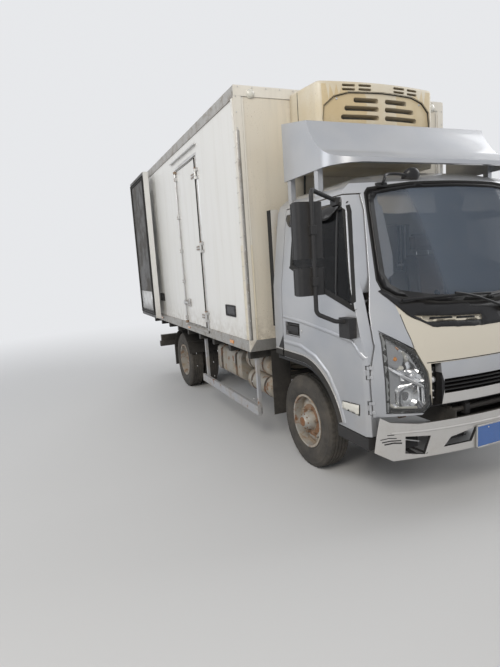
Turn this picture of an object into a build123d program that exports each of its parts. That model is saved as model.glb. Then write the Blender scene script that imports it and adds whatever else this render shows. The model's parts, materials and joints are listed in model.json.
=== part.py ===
from build123d import *
from math import cos, radians, sin
import os

os.makedirs("parts", exist_ok=True)

# A light refrigerated truck with a tilting cab and an insulated box, in millimetres.
# X runs forward, Y to the left and Z up. The origin is on the ground, at the centre of
# the truck's length and width.

# Driving dimensions of the whole truck
wheelbase = 3360.0
front_overhang = 1170.0
rear_overhang = 1465.0
front_axle_x = (wheelbase + rear_overhang - front_overhang) / 2
rear_axle_x = front_axle_x - wheelbase
SIDES = (("left", 1), ("right", -1))

# Wheels and tyres
tyre_radius = 388.0
tyre_half_width = 100.0
rim_radius = 216.0
rim_wall = 9.0
rim_half_width = 77.0
rim_lip_radius = 224.0
rim_lip = 8.0
rim_seat = 0.3
disc_thickness = 9.0
bolt_face_radius = 142.0
hand_holes = 5
hand_hole_height = 46.0
hand_hole_length = 84.0
hand_hole_circle = 174.0
drum_radius = 165.0
front_wheel_y = 770.0
twin_inner_y = 672.0
twin_spacing = 224.0
twin_outer_y = twin_inner_y + twin_spacing
axle_height = tyre_radius
spindle_radius = 28.0
rear_spindle_radius = 42.0
bearing_clearance = 0.1

# Ladder frame
rail_web_y = 355.0
rail_flange = 64.0
rail_height = 180.0
rail_plate = 8.0
rail_top = 725.0
rail_bottom = rail_top - rail_height
rail_lip_y = rail_web_y - rail_flange
rail_inner_y = rail_web_y - rail_plate
frame_front_x = front_axle_x + 1040
cross_member_width = 110.0

# Leaf springs
leaf_width = 60.0
leaf_thickness = 12.0
leaf_steps = (1.0, 0.74, 0.5, 0.28)
front_spring_half = 560.0
rear_spring_half = 600.0
spring_eye_radius = 20.0
seat_gap = 0.3
hanger_cheek = 8.0
front_beam_top = 392.0
rear_tube_radius = 50.0

# Insulated box
box_length = 4320.0
box_front_x = front_axle_x - 460
box_rear_x = box_front_x - box_length
box_bottom = 945.0
box_top = 3195.0
box_half_width = 1133.0
panel_wall = 80.0
rail_proud = 8.0
skin_half_width = box_half_width - rail_proud
bottom_rail_height = 100.0
corner_post = 70.0
floor_thickness = 100.0
roof_thickness = 90.0
floor_top = box_bottom + floor_thickness
roof_underside = box_top - roof_thickness
bearer_depth = 80.0
bearer_width = 60.0
bearer_count = 9
bearer_half_length = 1100.0

# Rear portal and its doors
post_width = 70.0
portal_depth = 90.0
sill_top = 1005.0
header_bottom = 3115.0
door_gap = 6.0
rear_door_thickness = 75.0
rear_pin_back = 32.0
rear_pin_out = 45.0
rear_pin_radius = 9.0
knuckle_radius = 13.0
rear_hinge_heights = (1180.0, 1750.0, 2330.0, 2930.0)

# Side door in the right wall
side_door_front_x = box_front_x - 1190
side_door_width = 835.0
side_door_rear_x = side_door_front_x - side_door_width
side_door_bottom = 1035.0
side_door_top = 2880.0
side_gap = 12.0
side_pin_forward = 22.0
side_pin_out = 20.0
side_hinge_heights = (1170.0, 1930.0, 2700.0)

# Refrigeration unit on the front wall
unit_half_width = 590.0
unit_depth = 495.0
unit_bow = 65.0
unit_bottom = 2465.0
unit_back_top = 3150.0
unit_front_top = 3116.0

# Cab
cab_back_x = front_axle_x - 260
nose_x = front_axle_x + 1140
nose_radius = 3200.0
cab_wall = 55.0
cab_base = 560.0
cab_half_width = 970.0
roof_half_width = 868.0
duct_x = (front_axle_x - 385, front_axle_x - 310)
duct_y = (-925.0, -850.0)
duct_z = (1170.0, 2160.0)
cab_roof_z = 2300.0
roof_split_z = 2140.0
screen_top_x = front_axle_x + 785
screen_base_x = front_axle_x + 1065
arch_radius = 498.0
arch_centre_x = front_axle_x + 185
arch_centre_z = 440.0
arch_top = arch_centre_z + arch_radius
floor_z = 985.0
footwell_z = 785.0
floor_plate = 40.0
back_wall_base = floor_z - floor_plate
floor_half_width = 896.0
nose_base = 735.0
corner_base = 712.0
lining_gap = 6.0

# Cab doors
door_rear_x = front_axle_x - 110
door_front_x = front_axle_x + 984
door_foot_x = front_axle_x + 997
door_bottom_z = 577.0
door_shut = 8.0
glass_inset = 6.0
glass_thickness = 6.0
# The door's hinge line, from its lower to its upper end, on the left side
door_hinge_line = ((front_axle_x + 990.7, 935.7, 770.0), (front_axle_x + 985.7, 941.7, 1000.0))
door_knuckle_radius = 9.0
door_pin_radius = 4.5
door_knuckle_half = 18.0
door_bracket_length = 22.0
door_leaf_reach = 32.0
door_leaf_thickness = 5.0
hinge_pocket_radius = 16.0
# The nose keeps the corner inside this line, so that the door turns clear of it
corner_inner_y = 889.0

# Tilt hinge of the cab
tilt_x = front_axle_x + 1062
tilt_z = 664.0
tilt_pin_radius = 18.0
tilt_clearance = 0.5

# Steering
kingpin_y = 640.0
kingpin_radius = 16.0
kingpin_clearance = 0.1


def save(part, name):
    part.label = name
    export_step(part, f"parts/{name}.step")


def block(x, y, z, mode=Mode.ADD):
    """A rectangular piece between low and high limits along each axis."""
    with Locations(((x[0] + x[1]) / 2, (y[0] + y[1]) / 2, (z[0] + z[1]) / 2)):
        Box(x[1] - x[0], y[1] - y[0], z[1] - z[0], mode=mode)


def outline_face(plane, points, radius=0.0, inset=0.0):
    """A closed outline on a plane, inset all round and rounded at its corners if asked."""
    with BuildSketch(plane) as outline:
        with BuildLine():
            Polyline(*points, close=True)
        make_face()
        if inset:
            offset(amount=-inset, kind=Kind.INTERSECTION, mode=Mode.REPLACE)
        if radius:
            fillet(outline.vertices(), radius)
    return outline.sketch


def side_prism(points, y, mode=Mode.ADD, radius=0.0, inset=0.0):
    """A side-view outline of (x, z) points, carried from y[0] to y[1]."""
    face = outline_face(Plane.XZ.offset(-y[0]), points, radius, inset)
    extrude(face, amount=y[0] - y[1], mode=mode)


def front_prism(points, x, mode=Mode.ADD, radius=0.0, inset=0.0):
    """A front-view outline of (y, z) points, carried from x[0] to x[1]."""
    face = outline_face(Plane.YZ.offset(x[0]), points, radius, inset)
    extrude(face, amount=x[1] - x[0], mode=mode)


def plan_prism(points, z, mode=Mode.ADD, radius=0.0):
    """A plan-view outline of (x, y) points, carried from z[0] to z[1]."""
    face = outline_face(Plane.XY.offset(z[0]), points, radius)
    extrude(face, amount=z[1] - z[0], mode=mode)


def cross_cylinder(x, z, radius, y, mode=Mode.ADD):
    """A cylinder along Y between y[0] and y[1]."""
    with Locations(Plane((x, y[0], z), x_dir=(1, 0, 0), z_dir=(0, 1, 0))):
        Cylinder(radius, y[1] - y[0], align=(Align.CENTER, Align.CENTER, Align.MIN), mode=mode)


def long_cylinder(y, z, radius, x, mode=Mode.ADD):
    """A cylinder along X between x[0] and x[1]."""
    with Locations(Plane((x[0], y, z), x_dir=(0, 1, 0), z_dir=(1, 0, 0))):
        Cylinder(radius, x[1] - x[0], align=(Align.CENTER, Align.CENTER, Align.MIN), mode=mode)


def upright_cylinder(x, y, radius, z, mode=Mode.ADD):
    """A cylinder along Z between z[0] and z[1]."""
    with Locations((x, y, z[0])):
        Cylinder(radius, z[1] - z[0], align=(Align.CENTER, Align.CENTER, Align.MIN), mode=mode)


def span(side, low, high):
    """The range from low to high on one side of the centre line, in rising order."""
    return tuple(sorted((side * low, side * high)))


def both_halves(points):
    """One half of a front view as (y, z) points, joined to its mirror image."""
    return list(points) + [(-y, z) for y, z in reversed(points) if y]


def wheel_ring(x, y, side, points):
    """A turned piece about a wheel's axis, from (radius, outward distance) points."""
    plane = Plane((x, y, axle_height), x_dir=(1, 0, 0), z_dir=(0, 0, 1))
    face = outline_face(plane, [(radius, side * out) for radius, out in points])
    revolve(face, axis=Axis((x, y, axle_height), (0, 1, 0)))


def leaf_pack(x, y, pad_top, half_length, sag):
    """Curved leaves stacked on a spring pad, the longest on top and ended by eyes."""
    radius = (half_length ** 2 + sag ** 2) / (2 * sag)
    pack_top = pad_top + leaf_thickness * len(leaf_steps)
    for index, share in enumerate(leaf_steps):
        inner = radius + leaf_thickness * index
        with BuildSketch(Plane.XZ.offset(-(y - leaf_width / 2))) as leaf:
            with Locations((x, pack_top + radius)):
                Circle(inner + leaf_thickness)
                Circle(inner, mode=Mode.SUBTRACT)
            with Locations((x, pack_top)):
                Rectangle(2 * half_length * share, 4 * sag + 200, mode=Mode.INTERSECT)
        extrude(leaf.sketch, amount=-leaf_width)
    eye_z = pack_top + sag
    for end in (-1, 1):
        cross_cylinder(x + end * half_length, eye_z - spring_eye_radius / 2, spring_eye_radius,
                       (y - leaf_width / 2, y + leaf_width / 2))
    return eye_z - spring_eye_radius / 2


# Spring packs as (axle x, pad height, half length, sag)
front_spring = (front_axle_x, front_beam_top, front_spring_half, 60.0)
rear_spring = (rear_axle_x, axle_height + rear_tube_radius, rear_spring_half, 30.0)
spring_y = rail_web_y - leaf_width / 2 - seat_gap
cross_member_xs = [frame_front_x - 90, front_axle_x - 420, front_axle_x - 1250,
                   rear_axle_x + 900, rear_axle_x + 330, rear_axle_x - 430, box_rear_x + 130]

# Ladder frame: two channels that face each other, tied by cross members, with the spring
# hangers below and the tilt hinge pin between its plates in front
with BuildPart() as chassis_frame:
    for name, side in SIDES:
        web = side * rail_web_y
        lip = side * rail_lip_y
        inner = side * rail_inner_y
        front_prism(
            [(web, rail_bottom), (web, rail_top), (lip, rail_top), (lip, rail_top - rail_plate),
             (inner, rail_top - rail_plate), (inner, rail_bottom + rail_plate),
             (lip, rail_bottom + rail_plate), (lip, rail_bottom)],
            (box_rear_x + 60, frame_front_x))
        for axle_x, pad_top, half_length, sag in (front_spring, rear_spring):
            for end in (-1, 1):
                eye_x = axle_x + end * half_length
                slot = (spring_y - leaf_width / 2 - seat_gap, spring_y + leaf_width / 2 + seat_gap)
                cheeks = (slot[0] - hanger_cheek, slot[1] + hanger_cheek)
                block((eye_x - 34, eye_x + 34), span(side, *cheeks), (rail_bottom - 60, rail_bottom))
                block((eye_x - 34, eye_x + 34), span(side, *slot),
                      (rail_bottom - 60, rail_bottom - 12), mode=Mode.SUBTRACT)
        block((frame_front_x - 80, tilt_x + 26), span(side, rail_web_y, rail_web_y + rail_plate),
              (tilt_z - 36, tilt_z + 36))
        block((cab_back_x + 20, cab_back_x + 100), span(side, rail_lip_y, rail_web_y),
              (rail_top, floor_z - floor_plate - seat_gap))
    for member_x in cross_member_xs:
        low = rail_bottom + rail_plate
        high = rail_top - rail_plate
        rear = member_x - cross_member_width / 2
        front = member_x + cross_member_width / 2
        side_prism(
            [(rear, low), (front, low), (front, low + rail_plate), (rear + rail_plate, low + rail_plate),
             (rear + rail_plate, high - rail_plate), (front, high - rail_plate), (front, high),
             (rear, high)],
            (-rail_inner_y, rail_inner_y))
    cross_cylinder(tilt_x, tilt_z, tilt_pin_radius, (-rail_web_y, rail_web_y))
save(chassis_frame.part, "chassis_frame")

# Front axle: a dropped beam with kingpin eyes at its ends and a leaf pack on each pad
beam_low = front_beam_top - 66
with BuildPart() as front_axle:
    beam = [(0, beam_low - 40), (250, beam_low - 40), (390, beam_low), (560, axle_height - 42),
            (kingpin_y, axle_height - 42), (kingpin_y, axle_height + 42), (560, axle_height + 42),
            (400, front_beam_top), (250, front_beam_top), (210, front_beam_top - 40),
            (0, front_beam_top - 40)]
    front_prism(both_halves(beam), (front_axle_x - 32, front_axle_x + 32))
    for name, side in SIDES:
        upright_cylinder(front_axle_x, side * kingpin_y, 34, (axle_height - 42, axle_height + 42))
        upright_cylinder(front_axle_x, side * kingpin_y, kingpin_radius + kingpin_clearance,
                         (axle_height - 60, axle_height + 60), mode=Mode.SUBTRACT)
        block((front_axle_x - 60, front_axle_x + 60), span(side, spring_y - 32, spring_y + 32),
              (front_beam_top - 14, front_beam_top))
        leaf_pack(front_axle_x, side * spring_y, *front_spring[1:])
save(front_axle.part, "front_axle")

# Rear axle: a tube with a round differential case, its leaf packs and the propeller shaft
case_radius = 160.0
shaft_front = (front_axle_x - 300, 500.0)
shaft_rear = (rear_axle_x + 240, axle_height + 20)
with BuildPart() as rear_axle:
    cross_cylinder(rear_axle_x, axle_height, rear_tube_radius, (-575, 575))
    cross_cylinder(rear_axle_x, axle_height, rear_spindle_radius, (-860, 860))
    cross_cylinder(rear_axle_x, axle_height, case_radius, (-70, 70))
    chamfer(rear_axle.edges().filter_by(GeomType.CIRCLE).filter_by(
        lambda edge: abs(edge.radius - case_radius) < 1), 30)
    long_cylinder(0, axle_height + 20, 62, (rear_axle_x + 60, shaft_rear[0]))
    long_cylinder(0, shaft_front[1], 52, (shaft_front[0] - 60, shaft_front[0]))
    run = Plane((shaft_rear[0] - 20, 0, shaft_rear[1]), x_dir=(0, 1, 0),
                z_dir=(shaft_front[0] - shaft_rear[0], 0, shaft_front[1] - shaft_rear[1]))
    with Locations(run):
        Cylinder(38, Vector(shaft_front[0] - shaft_rear[0], shaft_front[1] - shaft_rear[1]).length - 10,
                 align=(Align.CENTER, Align.CENTER, Align.MIN))
    for name, side in SIDES:
        block((rear_axle_x - 60, rear_axle_x + 60), span(side, spring_y - 32, spring_y + 32),
              (axle_height, rear_spring[1]))
        leaf_pack(rear_axle_x, side * spring_y, *rear_spring[1:])
save(rear_axle.part, "rear_axle")

# Engine: one plain block on two mounts between the rails
engine_half_width = rail_lip_y - 13
with BuildPart() as engine:
    block((front_axle_x - 300, front_axle_x + 470), (-engine_half_width, engine_half_width),
          (455, 925))
    for name, side in SIDES:
        block((front_axle_x + 60, front_axle_x + 180), span(side, engine_half_width, rail_inner_y),
              (600, 680))
save(engine.part, "engine")

# Exhaust: a pipe from the engine to a silencer hung from a cross member, and its tail pipe
silencer = (front_axle_x - 1560, front_axle_x - 960)
exhaust_y = 190.0
exhaust_z = 455.0
with BuildPart() as exhaust:
    long_cylinder(exhaust_y, exhaust_z, 88, silencer)
    fillet(exhaust.edges().filter_by(GeomType.CIRCLE), 18)
    long_cylinder(exhaust_y, exhaust_z, 28, (silencer[1] - 5, front_axle_x - 300))
    long_cylinder(exhaust_y, exhaust_z, 28, (silencer[0] - 420, silencer[0] + 5))
    cross_cylinder(silencer[0] - 392, exhaust_z, 28, (exhaust_y, 900))
    hang_x = cross_member_xs[2]
    block((hang_x - 15, hang_x + 15), (exhaust_y - 20, exhaust_y + 20),
          (exhaust_z + 60, rail_bottom + rail_plate))
save(exhaust.part, "exhaust")


def side_tank(x, y, z, side, corner, bracket_z):
    """A tank with rounded edges on two brackets that meet the rail's web."""
    front_prism([(side * y[0], z[0]), (side * y[1], z[0]), (side * y[1], z[1]), (side * y[0], z[1])],
                x, radius=corner)
    for strap_x in (x[0] + 110, x[1] - 110):
        block((strap_x - 25, strap_x + 25), span(side, rail_web_y, y[0] + 5), bracket_z)


# Tanks on the right: two air tanks in a bracket and the fuel tank behind them
with BuildPart() as side_tanks:
    for tank_z, tank_y in ((520, 780), (745, 790)):
        long_cylinder(-tank_y, tank_z, 108, (front_axle_x - 1180, front_axle_x - 620))
    fillet(side_tanks.edges().filter_by(GeomType.CIRCLE), 30)
    for strap_x in (front_axle_x - 1060, front_axle_x - 740):
        block((strap_x - 20, strap_x + 20), (-700, -rail_web_y), (560, 700))
    side_tank((front_axle_x - 2050, front_axle_x - 1290), (430, 900), (470, 790), -1, 70, (590, 680))
save(side_tanks.part, "side_tanks")

# Battery box on the left
with BuildPart() as battery_box:
    side_tank((front_axle_x - 1180, front_axle_x - 640), (430, 880), (480, 790), 1, 20, (590, 680))
save(battery_box.part, "battery_box")

# Bearers under the floor, evenly spaced
bearer_first = box_rear_x + portal_depth + 60
bearer_last = box_front_x - 110
bearer_xs = [bearer_first + (bearer_last - bearer_first) * index / (bearer_count - 1)
             for index in range(bearer_count)]

# Side guards: a plank on posts that hang from the bearers, on each side
guard_posts = (bearer_xs[5], bearer_xs[8])
guard_y = (1040.0, 1072.0)
with BuildPart() as side_guards:
    for name, side in SIDES:
        block((bearer_xs[5] - 90, bearer_xs[8] + 60), span(side, *guard_y), (330, 415))
        for post_x in guard_posts:
            block((post_x - 20, post_x + 20), span(side, guard_y[0] - 30, guard_y[0]),
                  (330, box_bottom - bearer_depth))
save(side_guards.part, "side_guards")

# Mudguards: an arc over each twin wheel on bars from the rail, with a flap behind, and a
# flap on a bar behind each front wheel
guard_radius = tyre_radius + 46
guard_low = axle_height + 150
flap_top = guard_low + 22
front_flap_x = front_axle_x - 458
with BuildPart() as mudguards:
    for name, side in SIDES:
        y_range = span(side, 570, 1010)
        with BuildSketch(Plane.XZ.offset(-y_range[0])) as arc:
            with Locations((rear_axle_x, axle_height)):
                Circle(guard_radius + 5)
                Circle(guard_radius, mode=Mode.SUBTRACT)
            with Locations((rear_axle_x, guard_low + guard_radius)):
                Rectangle(3 * guard_radius, 2 * guard_radius, mode=Mode.INTERSECT)
        extrude(arc.sketch, amount=y_range[0] - y_range[1])
        for end in (-1, 1):
            bar_x = rear_axle_x + end * 330
            block((bar_x - 12, bar_x + 12), span(side, rail_web_y, 1000), (675, 700))
        block((rear_axle_x - guard_radius - 5, rear_axle_x - guard_radius + 3), y_range, (250, flap_top))
        block((rear_axle_x - guard_radius - 5, rear_axle_x - guard_radius + 32), y_range,
              (flap_top - 8, flap_top))
        block((front_flap_x - 6, front_flap_x), span(side, 740, 930), (330, 930))
        block((front_flap_x - 30, front_flap_x - 6), span(side, rail_web_y, 900), (672, 700))
save(mudguards.part, "mudguards")

# Rear underrun bar with its lamp boxes
bar_x = (box_rear_x + 62, box_rear_x + 132)
with BuildPart() as rear_bar:
    block(bar_x, (-1040, 1040), (420, 510))
    for name, side in SIDES:
        block((bar_x[0], bar_x[1] + 60), span(side, rail_web_y, rail_web_y + 40), (420, rail_top - 20))
        block((bar_x[0] - 30, bar_x[1] - 20), span(side, 640, 1010), (500, 610))
    chamfer(rear_bar.edges().filter_by(Axis.Y), 4)
save(rear_bar.part, "rear_bar")


def nose_arc(extra, z, half_width, mode=Mode.ADD):
    """A plan-view form with a bowed front, extra ahead of the cab's nose, and round corners."""
    centre_x = nose_x - nose_radius
    with BuildSketch(Plane.XY.offset(z[0])) as plan:
        with Locations((centre_x, 0)):
            Circle(nose_radius + extra)
        with Locations((nose_x - 300, 0)):
            Rectangle(1200, 2 * half_width, mode=Mode.INTERSECT)
        corners = plan.vertices().group_by(Axis.X)[-1]
        fillet(corners, 95)
    extrude(plan.sketch, amount=z[1] - z[0], mode=mode)


# Front bumper: a bowed shell with wrapped ends, raised at the corners, with lamp openings
bumper_wall = 20.0
bumper_extra = front_axle_x + front_overhang - nose_x
bumper_half = 966.0
bumper_front = front_axle_x + front_overhang
bracket_end = 32.0
with BuildPart() as front_bumper:
    nose_arc(bumper_extra, (415, 735), bumper_half)
    nose_arc(bumper_extra - bumper_wall, (400, 750), bumper_half - bumper_wall, mode=Mode.SUBTRACT)
    front_prism([(-1000, 740), (-912, 716), (-836, 672), (-650, 642), (650, 642), (836, 672),
                 (912, 716), (1000, 740), (1000, 900), (-1000, 900)],
                (nose_x - 900, bumper_front + 50), mode=Mode.SUBTRACT)
    for name, side in SIDES:
        front_prism([(side * 790, 395), (side * 1000, 395), (side * 1000, 512), (side * 945, 485)],
                    (nose_x - 900, bumper_front + 50), mode=Mode.SUBTRACT)
        front_prism([(side * 744, 457), (side * 741, 570), (side * 566, 553), (side * 610, 433)],
                    (nose_x - 400, bumper_front + 50), mode=Mode.SUBTRACT)
        front_prism([(side * 472, 462), (side * 418, 521), (side * 205, 559), (side * 254, 465)],
                    (nose_x - 400, bumper_front + 50), mode=Mode.SUBTRACT)
    side_prism([(nose_x - 1200, 300), (front_axle_x + 1003, 300), (front_axle_x + 1045, 760),
                (nose_x - 1200, 760)], (-1100, 1100), mode=Mode.SUBTRACT)
    for name, side in SIDES:
        bracket = span(side, rail_web_y + rail_plate, rail_web_y + rail_plate + 10)
        block((frame_front_x - 40, bumper_front - bracket_end), bracket, (520, tilt_z + 22))
save(front_bumper.part, "front_bumper")

# Box floor with its two long bearers on the rails and the cross bearers
inner_half = skin_half_width - panel_wall
wall_rear_x = box_rear_x + portal_depth
front_wall_inner_x = box_front_x - rail_proud - panel_wall
with BuildPart() as box_floor:
    block((wall_rear_x, front_wall_inner_x), (-inner_half, inner_half), (box_bottom, floor_top))
    for bearer_x in bearer_xs:
        block((bearer_x - bearer_width / 2, bearer_x + bearer_width / 2),
              (-bearer_half_length, bearer_half_length), (box_bottom - bearer_depth, box_bottom))
    for name, side in SIDES:
        block((wall_rear_x, front_wall_inner_x + 60), span(side, rail_lip_y, rail_web_y),
              (rail_top, box_bottom - bearer_depth))
save(box_floor.part, "box_floor")


def rails_on_wall(side, x):
    """Proud rails along the bottom and the top edge of a side wall."""
    outside = span(side, skin_half_width, box_half_width)
    block(x, outside, (box_bottom, box_bottom + bottom_rail_height))
    block(x, outside, (roof_underside - 15, roof_underside))


# Side walls: one insulated panel each, with rails along the edges
with BuildPart() as box_wall_left:
    block((wall_rear_x, box_front_x - rail_proud), (inner_half, skin_half_width),
          (box_bottom, roof_underside))
    rails_on_wall(1, (wall_rear_x, box_front_x - rail_proud))
save(box_wall_left.part, "box_wall_left")

opening_x = (side_door_rear_x - side_gap, side_door_front_x + side_gap)
opening_z = (side_door_bottom - side_gap, side_door_top + side_gap)
side_pin_x = side_door_front_x + side_pin_forward
side_pin_y = -(skin_half_width + side_pin_out)
with BuildPart() as box_wall_right:
    block((wall_rear_x, box_front_x - rail_proud), (-skin_half_width, -inner_half),
          (box_bottom, roof_underside))
    rails_on_wall(-1, (wall_rear_x, box_front_x - rail_proud))
    block(opening_x, (-box_half_width - 1, -inner_half + 1), opening_z, mode=Mode.SUBTRACT)
    gutter_z = side_door_top + 110
    side_prism([(opening_x[0] - 130, gutter_z), (opening_x[1] + 60, gutter_z),
                (opening_x[1] + 60, gutter_z + 8), (opening_x[0] - 130, gutter_z + 8)],
               (-skin_half_width - 30, -skin_half_width))
    for hinge_z in side_hinge_heights:
        for low, high in ((hinge_z - 54, hinge_z - 26), (hinge_z + 26, hinge_z + 54)):
            plan_prism([(opening_x[1] + 70, -skin_half_width), (opening_x[1] + 70, -skin_half_width - 8),
                        (side_pin_x + 20, -skin_half_width - 8), (side_pin_x, side_pin_y - 6),
                        (side_pin_x - 4, side_pin_y + 6), (opening_x[1] + 14, -skin_half_width)],
                       (low, high))
            upright_cylinder(side_pin_x, side_pin_y, knuckle_radius, (low, high))
        upright_cylinder(side_pin_x, side_pin_y, rear_pin_radius, (hinge_z - 54, hinge_z + 54))
save(box_wall_right.part, "box_wall_right")

# Front wall between the side walls, with corner posts and a top rail standing proud
front_skin_x = box_front_x - rail_proud
with BuildPart() as box_front_wall:
    block((front_wall_inner_x, front_skin_x), (-inner_half, inner_half),
          (box_bottom, roof_underside))
    for name, side in SIDES:
        block((front_skin_x, box_front_x), span(side, box_half_width - corner_post, box_half_width),
              (box_bottom, roof_underside))
    block((front_skin_x, box_front_x), (-box_half_width, box_half_width),
          (box_bottom, box_bottom + bottom_rail_height))
save(box_front_wall.part, "box_front_wall")

# Roof panel with a rail round its edge
with BuildPart() as box_roof:
    block((wall_rear_x, box_front_x), (-box_half_width, box_half_width),
          (roof_underside, box_top))
    chamfer(box_roof.edges().group_by(Axis.Z)[-1], 10)
save(box_roof.part, "box_roof")

# Rear portal: posts, header and sill, with the fixed hinge knuckles outside its corners
rear_pin_x = box_rear_x - rear_pin_back
rear_pin_y = box_half_width + rear_pin_out
leaf_bottom = sill_top + door_gap
leaf_top = header_bottom - door_gap
with BuildPart() as rear_frame:
    block((box_rear_x, wall_rear_x), (-box_half_width, box_half_width), (box_bottom, box_top))
    block((box_rear_x - 1, wall_rear_x + 1),
          (-box_half_width + post_width, box_half_width - post_width),
          (sill_top, header_bottom), mode=Mode.SUBTRACT)
    for name, side in SIDES:
        for hinge_z in rear_hinge_heights:
            for low, high in ((hinge_z - 60, hinge_z - 28), (hinge_z + 28, hinge_z + 60)):
                plan_prism([(box_rear_x, side * (box_half_width - 40)),
                            (box_rear_x - 6, side * (box_half_width - 40)),
                            (box_rear_x - 6, side * (box_half_width + 4)),
                            (rear_pin_x - 4, side * (rear_pin_y + 4)),
                            (rear_pin_x + 8, side * (rear_pin_y + 8)),
                            (box_rear_x + 16, side * box_half_width),
                            (box_rear_x, side * box_half_width)], (low, high))
                upright_cylinder(rear_pin_x, side * rear_pin_y, knuckle_radius, (low, high))
            upright_cylinder(rear_pin_x, side * rear_pin_y, rear_pin_radius,
                             (hinge_z - 60, hinge_z + 60))
save(rear_frame.part, "rear_frame")


def closed_rear_door(side):
    """A rear door leaf shut in the portal, with its hinge straps and two lock rods."""
    face_x = box_rear_x
    outer_y = box_half_width - post_width - door_gap
    with BuildPart() as leaf:
        block((face_x, face_x + rear_door_thickness), span(side, door_gap / 2, outer_y),
              (leaf_bottom, leaf_top))
        for hinge_z in rear_hinge_heights:
            strap_z = (hinge_z - 26, hinge_z + 26)
            plan_prism([(face_x, side * 620), (face_x - 7, side * 620),
                        (face_x - 7, side * (box_half_width - 30)),
                        (rear_pin_x - 6, side * rear_pin_y), (rear_pin_x + 6, side * rear_pin_y),
                        (face_x - 1, side * (box_half_width - 30)),
                        (face_x - 1, side * (outer_y - 10)), (face_x, side * (outer_y - 10))],
                       strap_z)
            upright_cylinder(rear_pin_x, side * rear_pin_y, knuckle_radius, strap_z)
            upright_cylinder(rear_pin_x, side * rear_pin_y, rear_pin_radius + 0.5,
                             (hinge_z - 30, hinge_z + 30), mode=Mode.SUBTRACT)
        for rod_y in (160, 560):
            upright_cylinder(face_x - 16, side * rod_y, 11, (leaf_bottom + 15, leaf_top - 15))
            for guide_z in (1150, 1500, 2060, 2620, 2960):
                block((face_x - 27, face_x), span(side, rod_y - 26, rod_y + 26),
                      (guide_z - 22, guide_z + 22))
            block((face_x - 30, face_x - 5), span(side, rod_y - 8, rod_y + 250), (1496, 1512))
    return leaf.part


# Rear doors, drawn shut and then folded right back along the side walls
for name, side in SIDES:
    pin_axis = Axis((rear_pin_x, side * rear_pin_y, 0), (0, 0, 1))
    folded = closed_rear_door(side).rotate(pin_axis, -side * 270)
    save(folded, f"rear_door_{name}")

# Side door: a leaf flush in the right wall with hinges in front and a lock rod behind
with BuildPart() as side_door:
    block((side_door_rear_x, side_door_front_x), (-skin_half_width - 4, -skin_half_width + 76),
          (side_door_bottom, side_door_top))
    for hinge_z in side_hinge_heights:
        plan_prism([(side_door_front_x - 170, -skin_half_width - 4),
                    (side_door_front_x - 170, -skin_half_width - 12),
                    (side_door_front_x - 10, -skin_half_width - 12),
                    (side_pin_x, side_pin_y - 6), (side_pin_x, side_pin_y + 6),
                    (side_door_front_x - 4, -skin_half_width - 4)],
                   (hinge_z - 24, hinge_z + 24))
        upright_cylinder(side_pin_x, side_pin_y, knuckle_radius, (hinge_z - 24, hinge_z + 24))
        upright_cylinder(side_pin_x, side_pin_y, rear_pin_radius + 0.5,
                         (hinge_z - 30, hinge_z + 30), mode=Mode.SUBTRACT)
    rod_x = side_door_rear_x + 60
    upright_cylinder(rod_x, -skin_half_width - 22, 10, (side_door_bottom + 8, side_door_top - 8))
    for guide_z in (1110, 1560, 1930, 2330, 2780):
        block((rod_x - 24, rod_x + 24), (-skin_half_width - 32, -skin_half_width - 4),
              (guide_z - 20, guide_z + 20))
    block((rod_x - 8, rod_x + 190), (-skin_half_width - 36, -skin_half_width - 12), (1292, 1308))
save(side_door.part, "side_door")

# Refrigeration unit: a bowed housing with a sunk front panel and rows of air slots
unit_front_x = front_skin_x + unit_depth
unit_side_x = unit_front_x - unit_bow
slot_depth = 70.0
panel_sink = 16.0
# Slots as (centre y, centre z, half width, half height), mirrored left and right
unit_slots = (
    (172.0, 3086.0, 60.0, 9.0), (320.0, 3084.0, 58.0, 9.0), (172.0, 3056.0, 60.0, 9.0),
    (320.0, 3053.0, 58.0, 9.0), (152.0, 2978.0, 118.0, 19.0), (192.0, 2914.0, 162.0, 19.0),
    (208.0, 2846.0, 178.0, 19.0), (212.0, 2776.0, 182.0, 19.0), (208.0, 2706.0, 178.0, 19.0),
    (196.0, 2636.0, 166.0, 19.0),
)


def unit_plan(inset, mode):
    """The unit's plan with its bowed front, drawn back by an inset, over its whole height."""
    with BuildSketch(Plane.XY.offset(unit_bottom - 10)) as plan:
        with BuildLine():
            Polyline((unit_side_x - inset, unit_half_width), (front_skin_x, unit_half_width + 12),
                     (front_skin_x, -unit_half_width - 12), (unit_side_x - inset, -unit_half_width))
            ThreePointArc((unit_side_x - inset, -unit_half_width), (unit_front_x - inset, 0),
                          (unit_side_x - inset, unit_half_width))
        make_face()
        fillet(plan.vertices().group_by(Axis.X)[-1], 55)
    extrude(plan.sketch, amount=unit_back_top - unit_bottom + 20, mode=mode)


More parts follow.
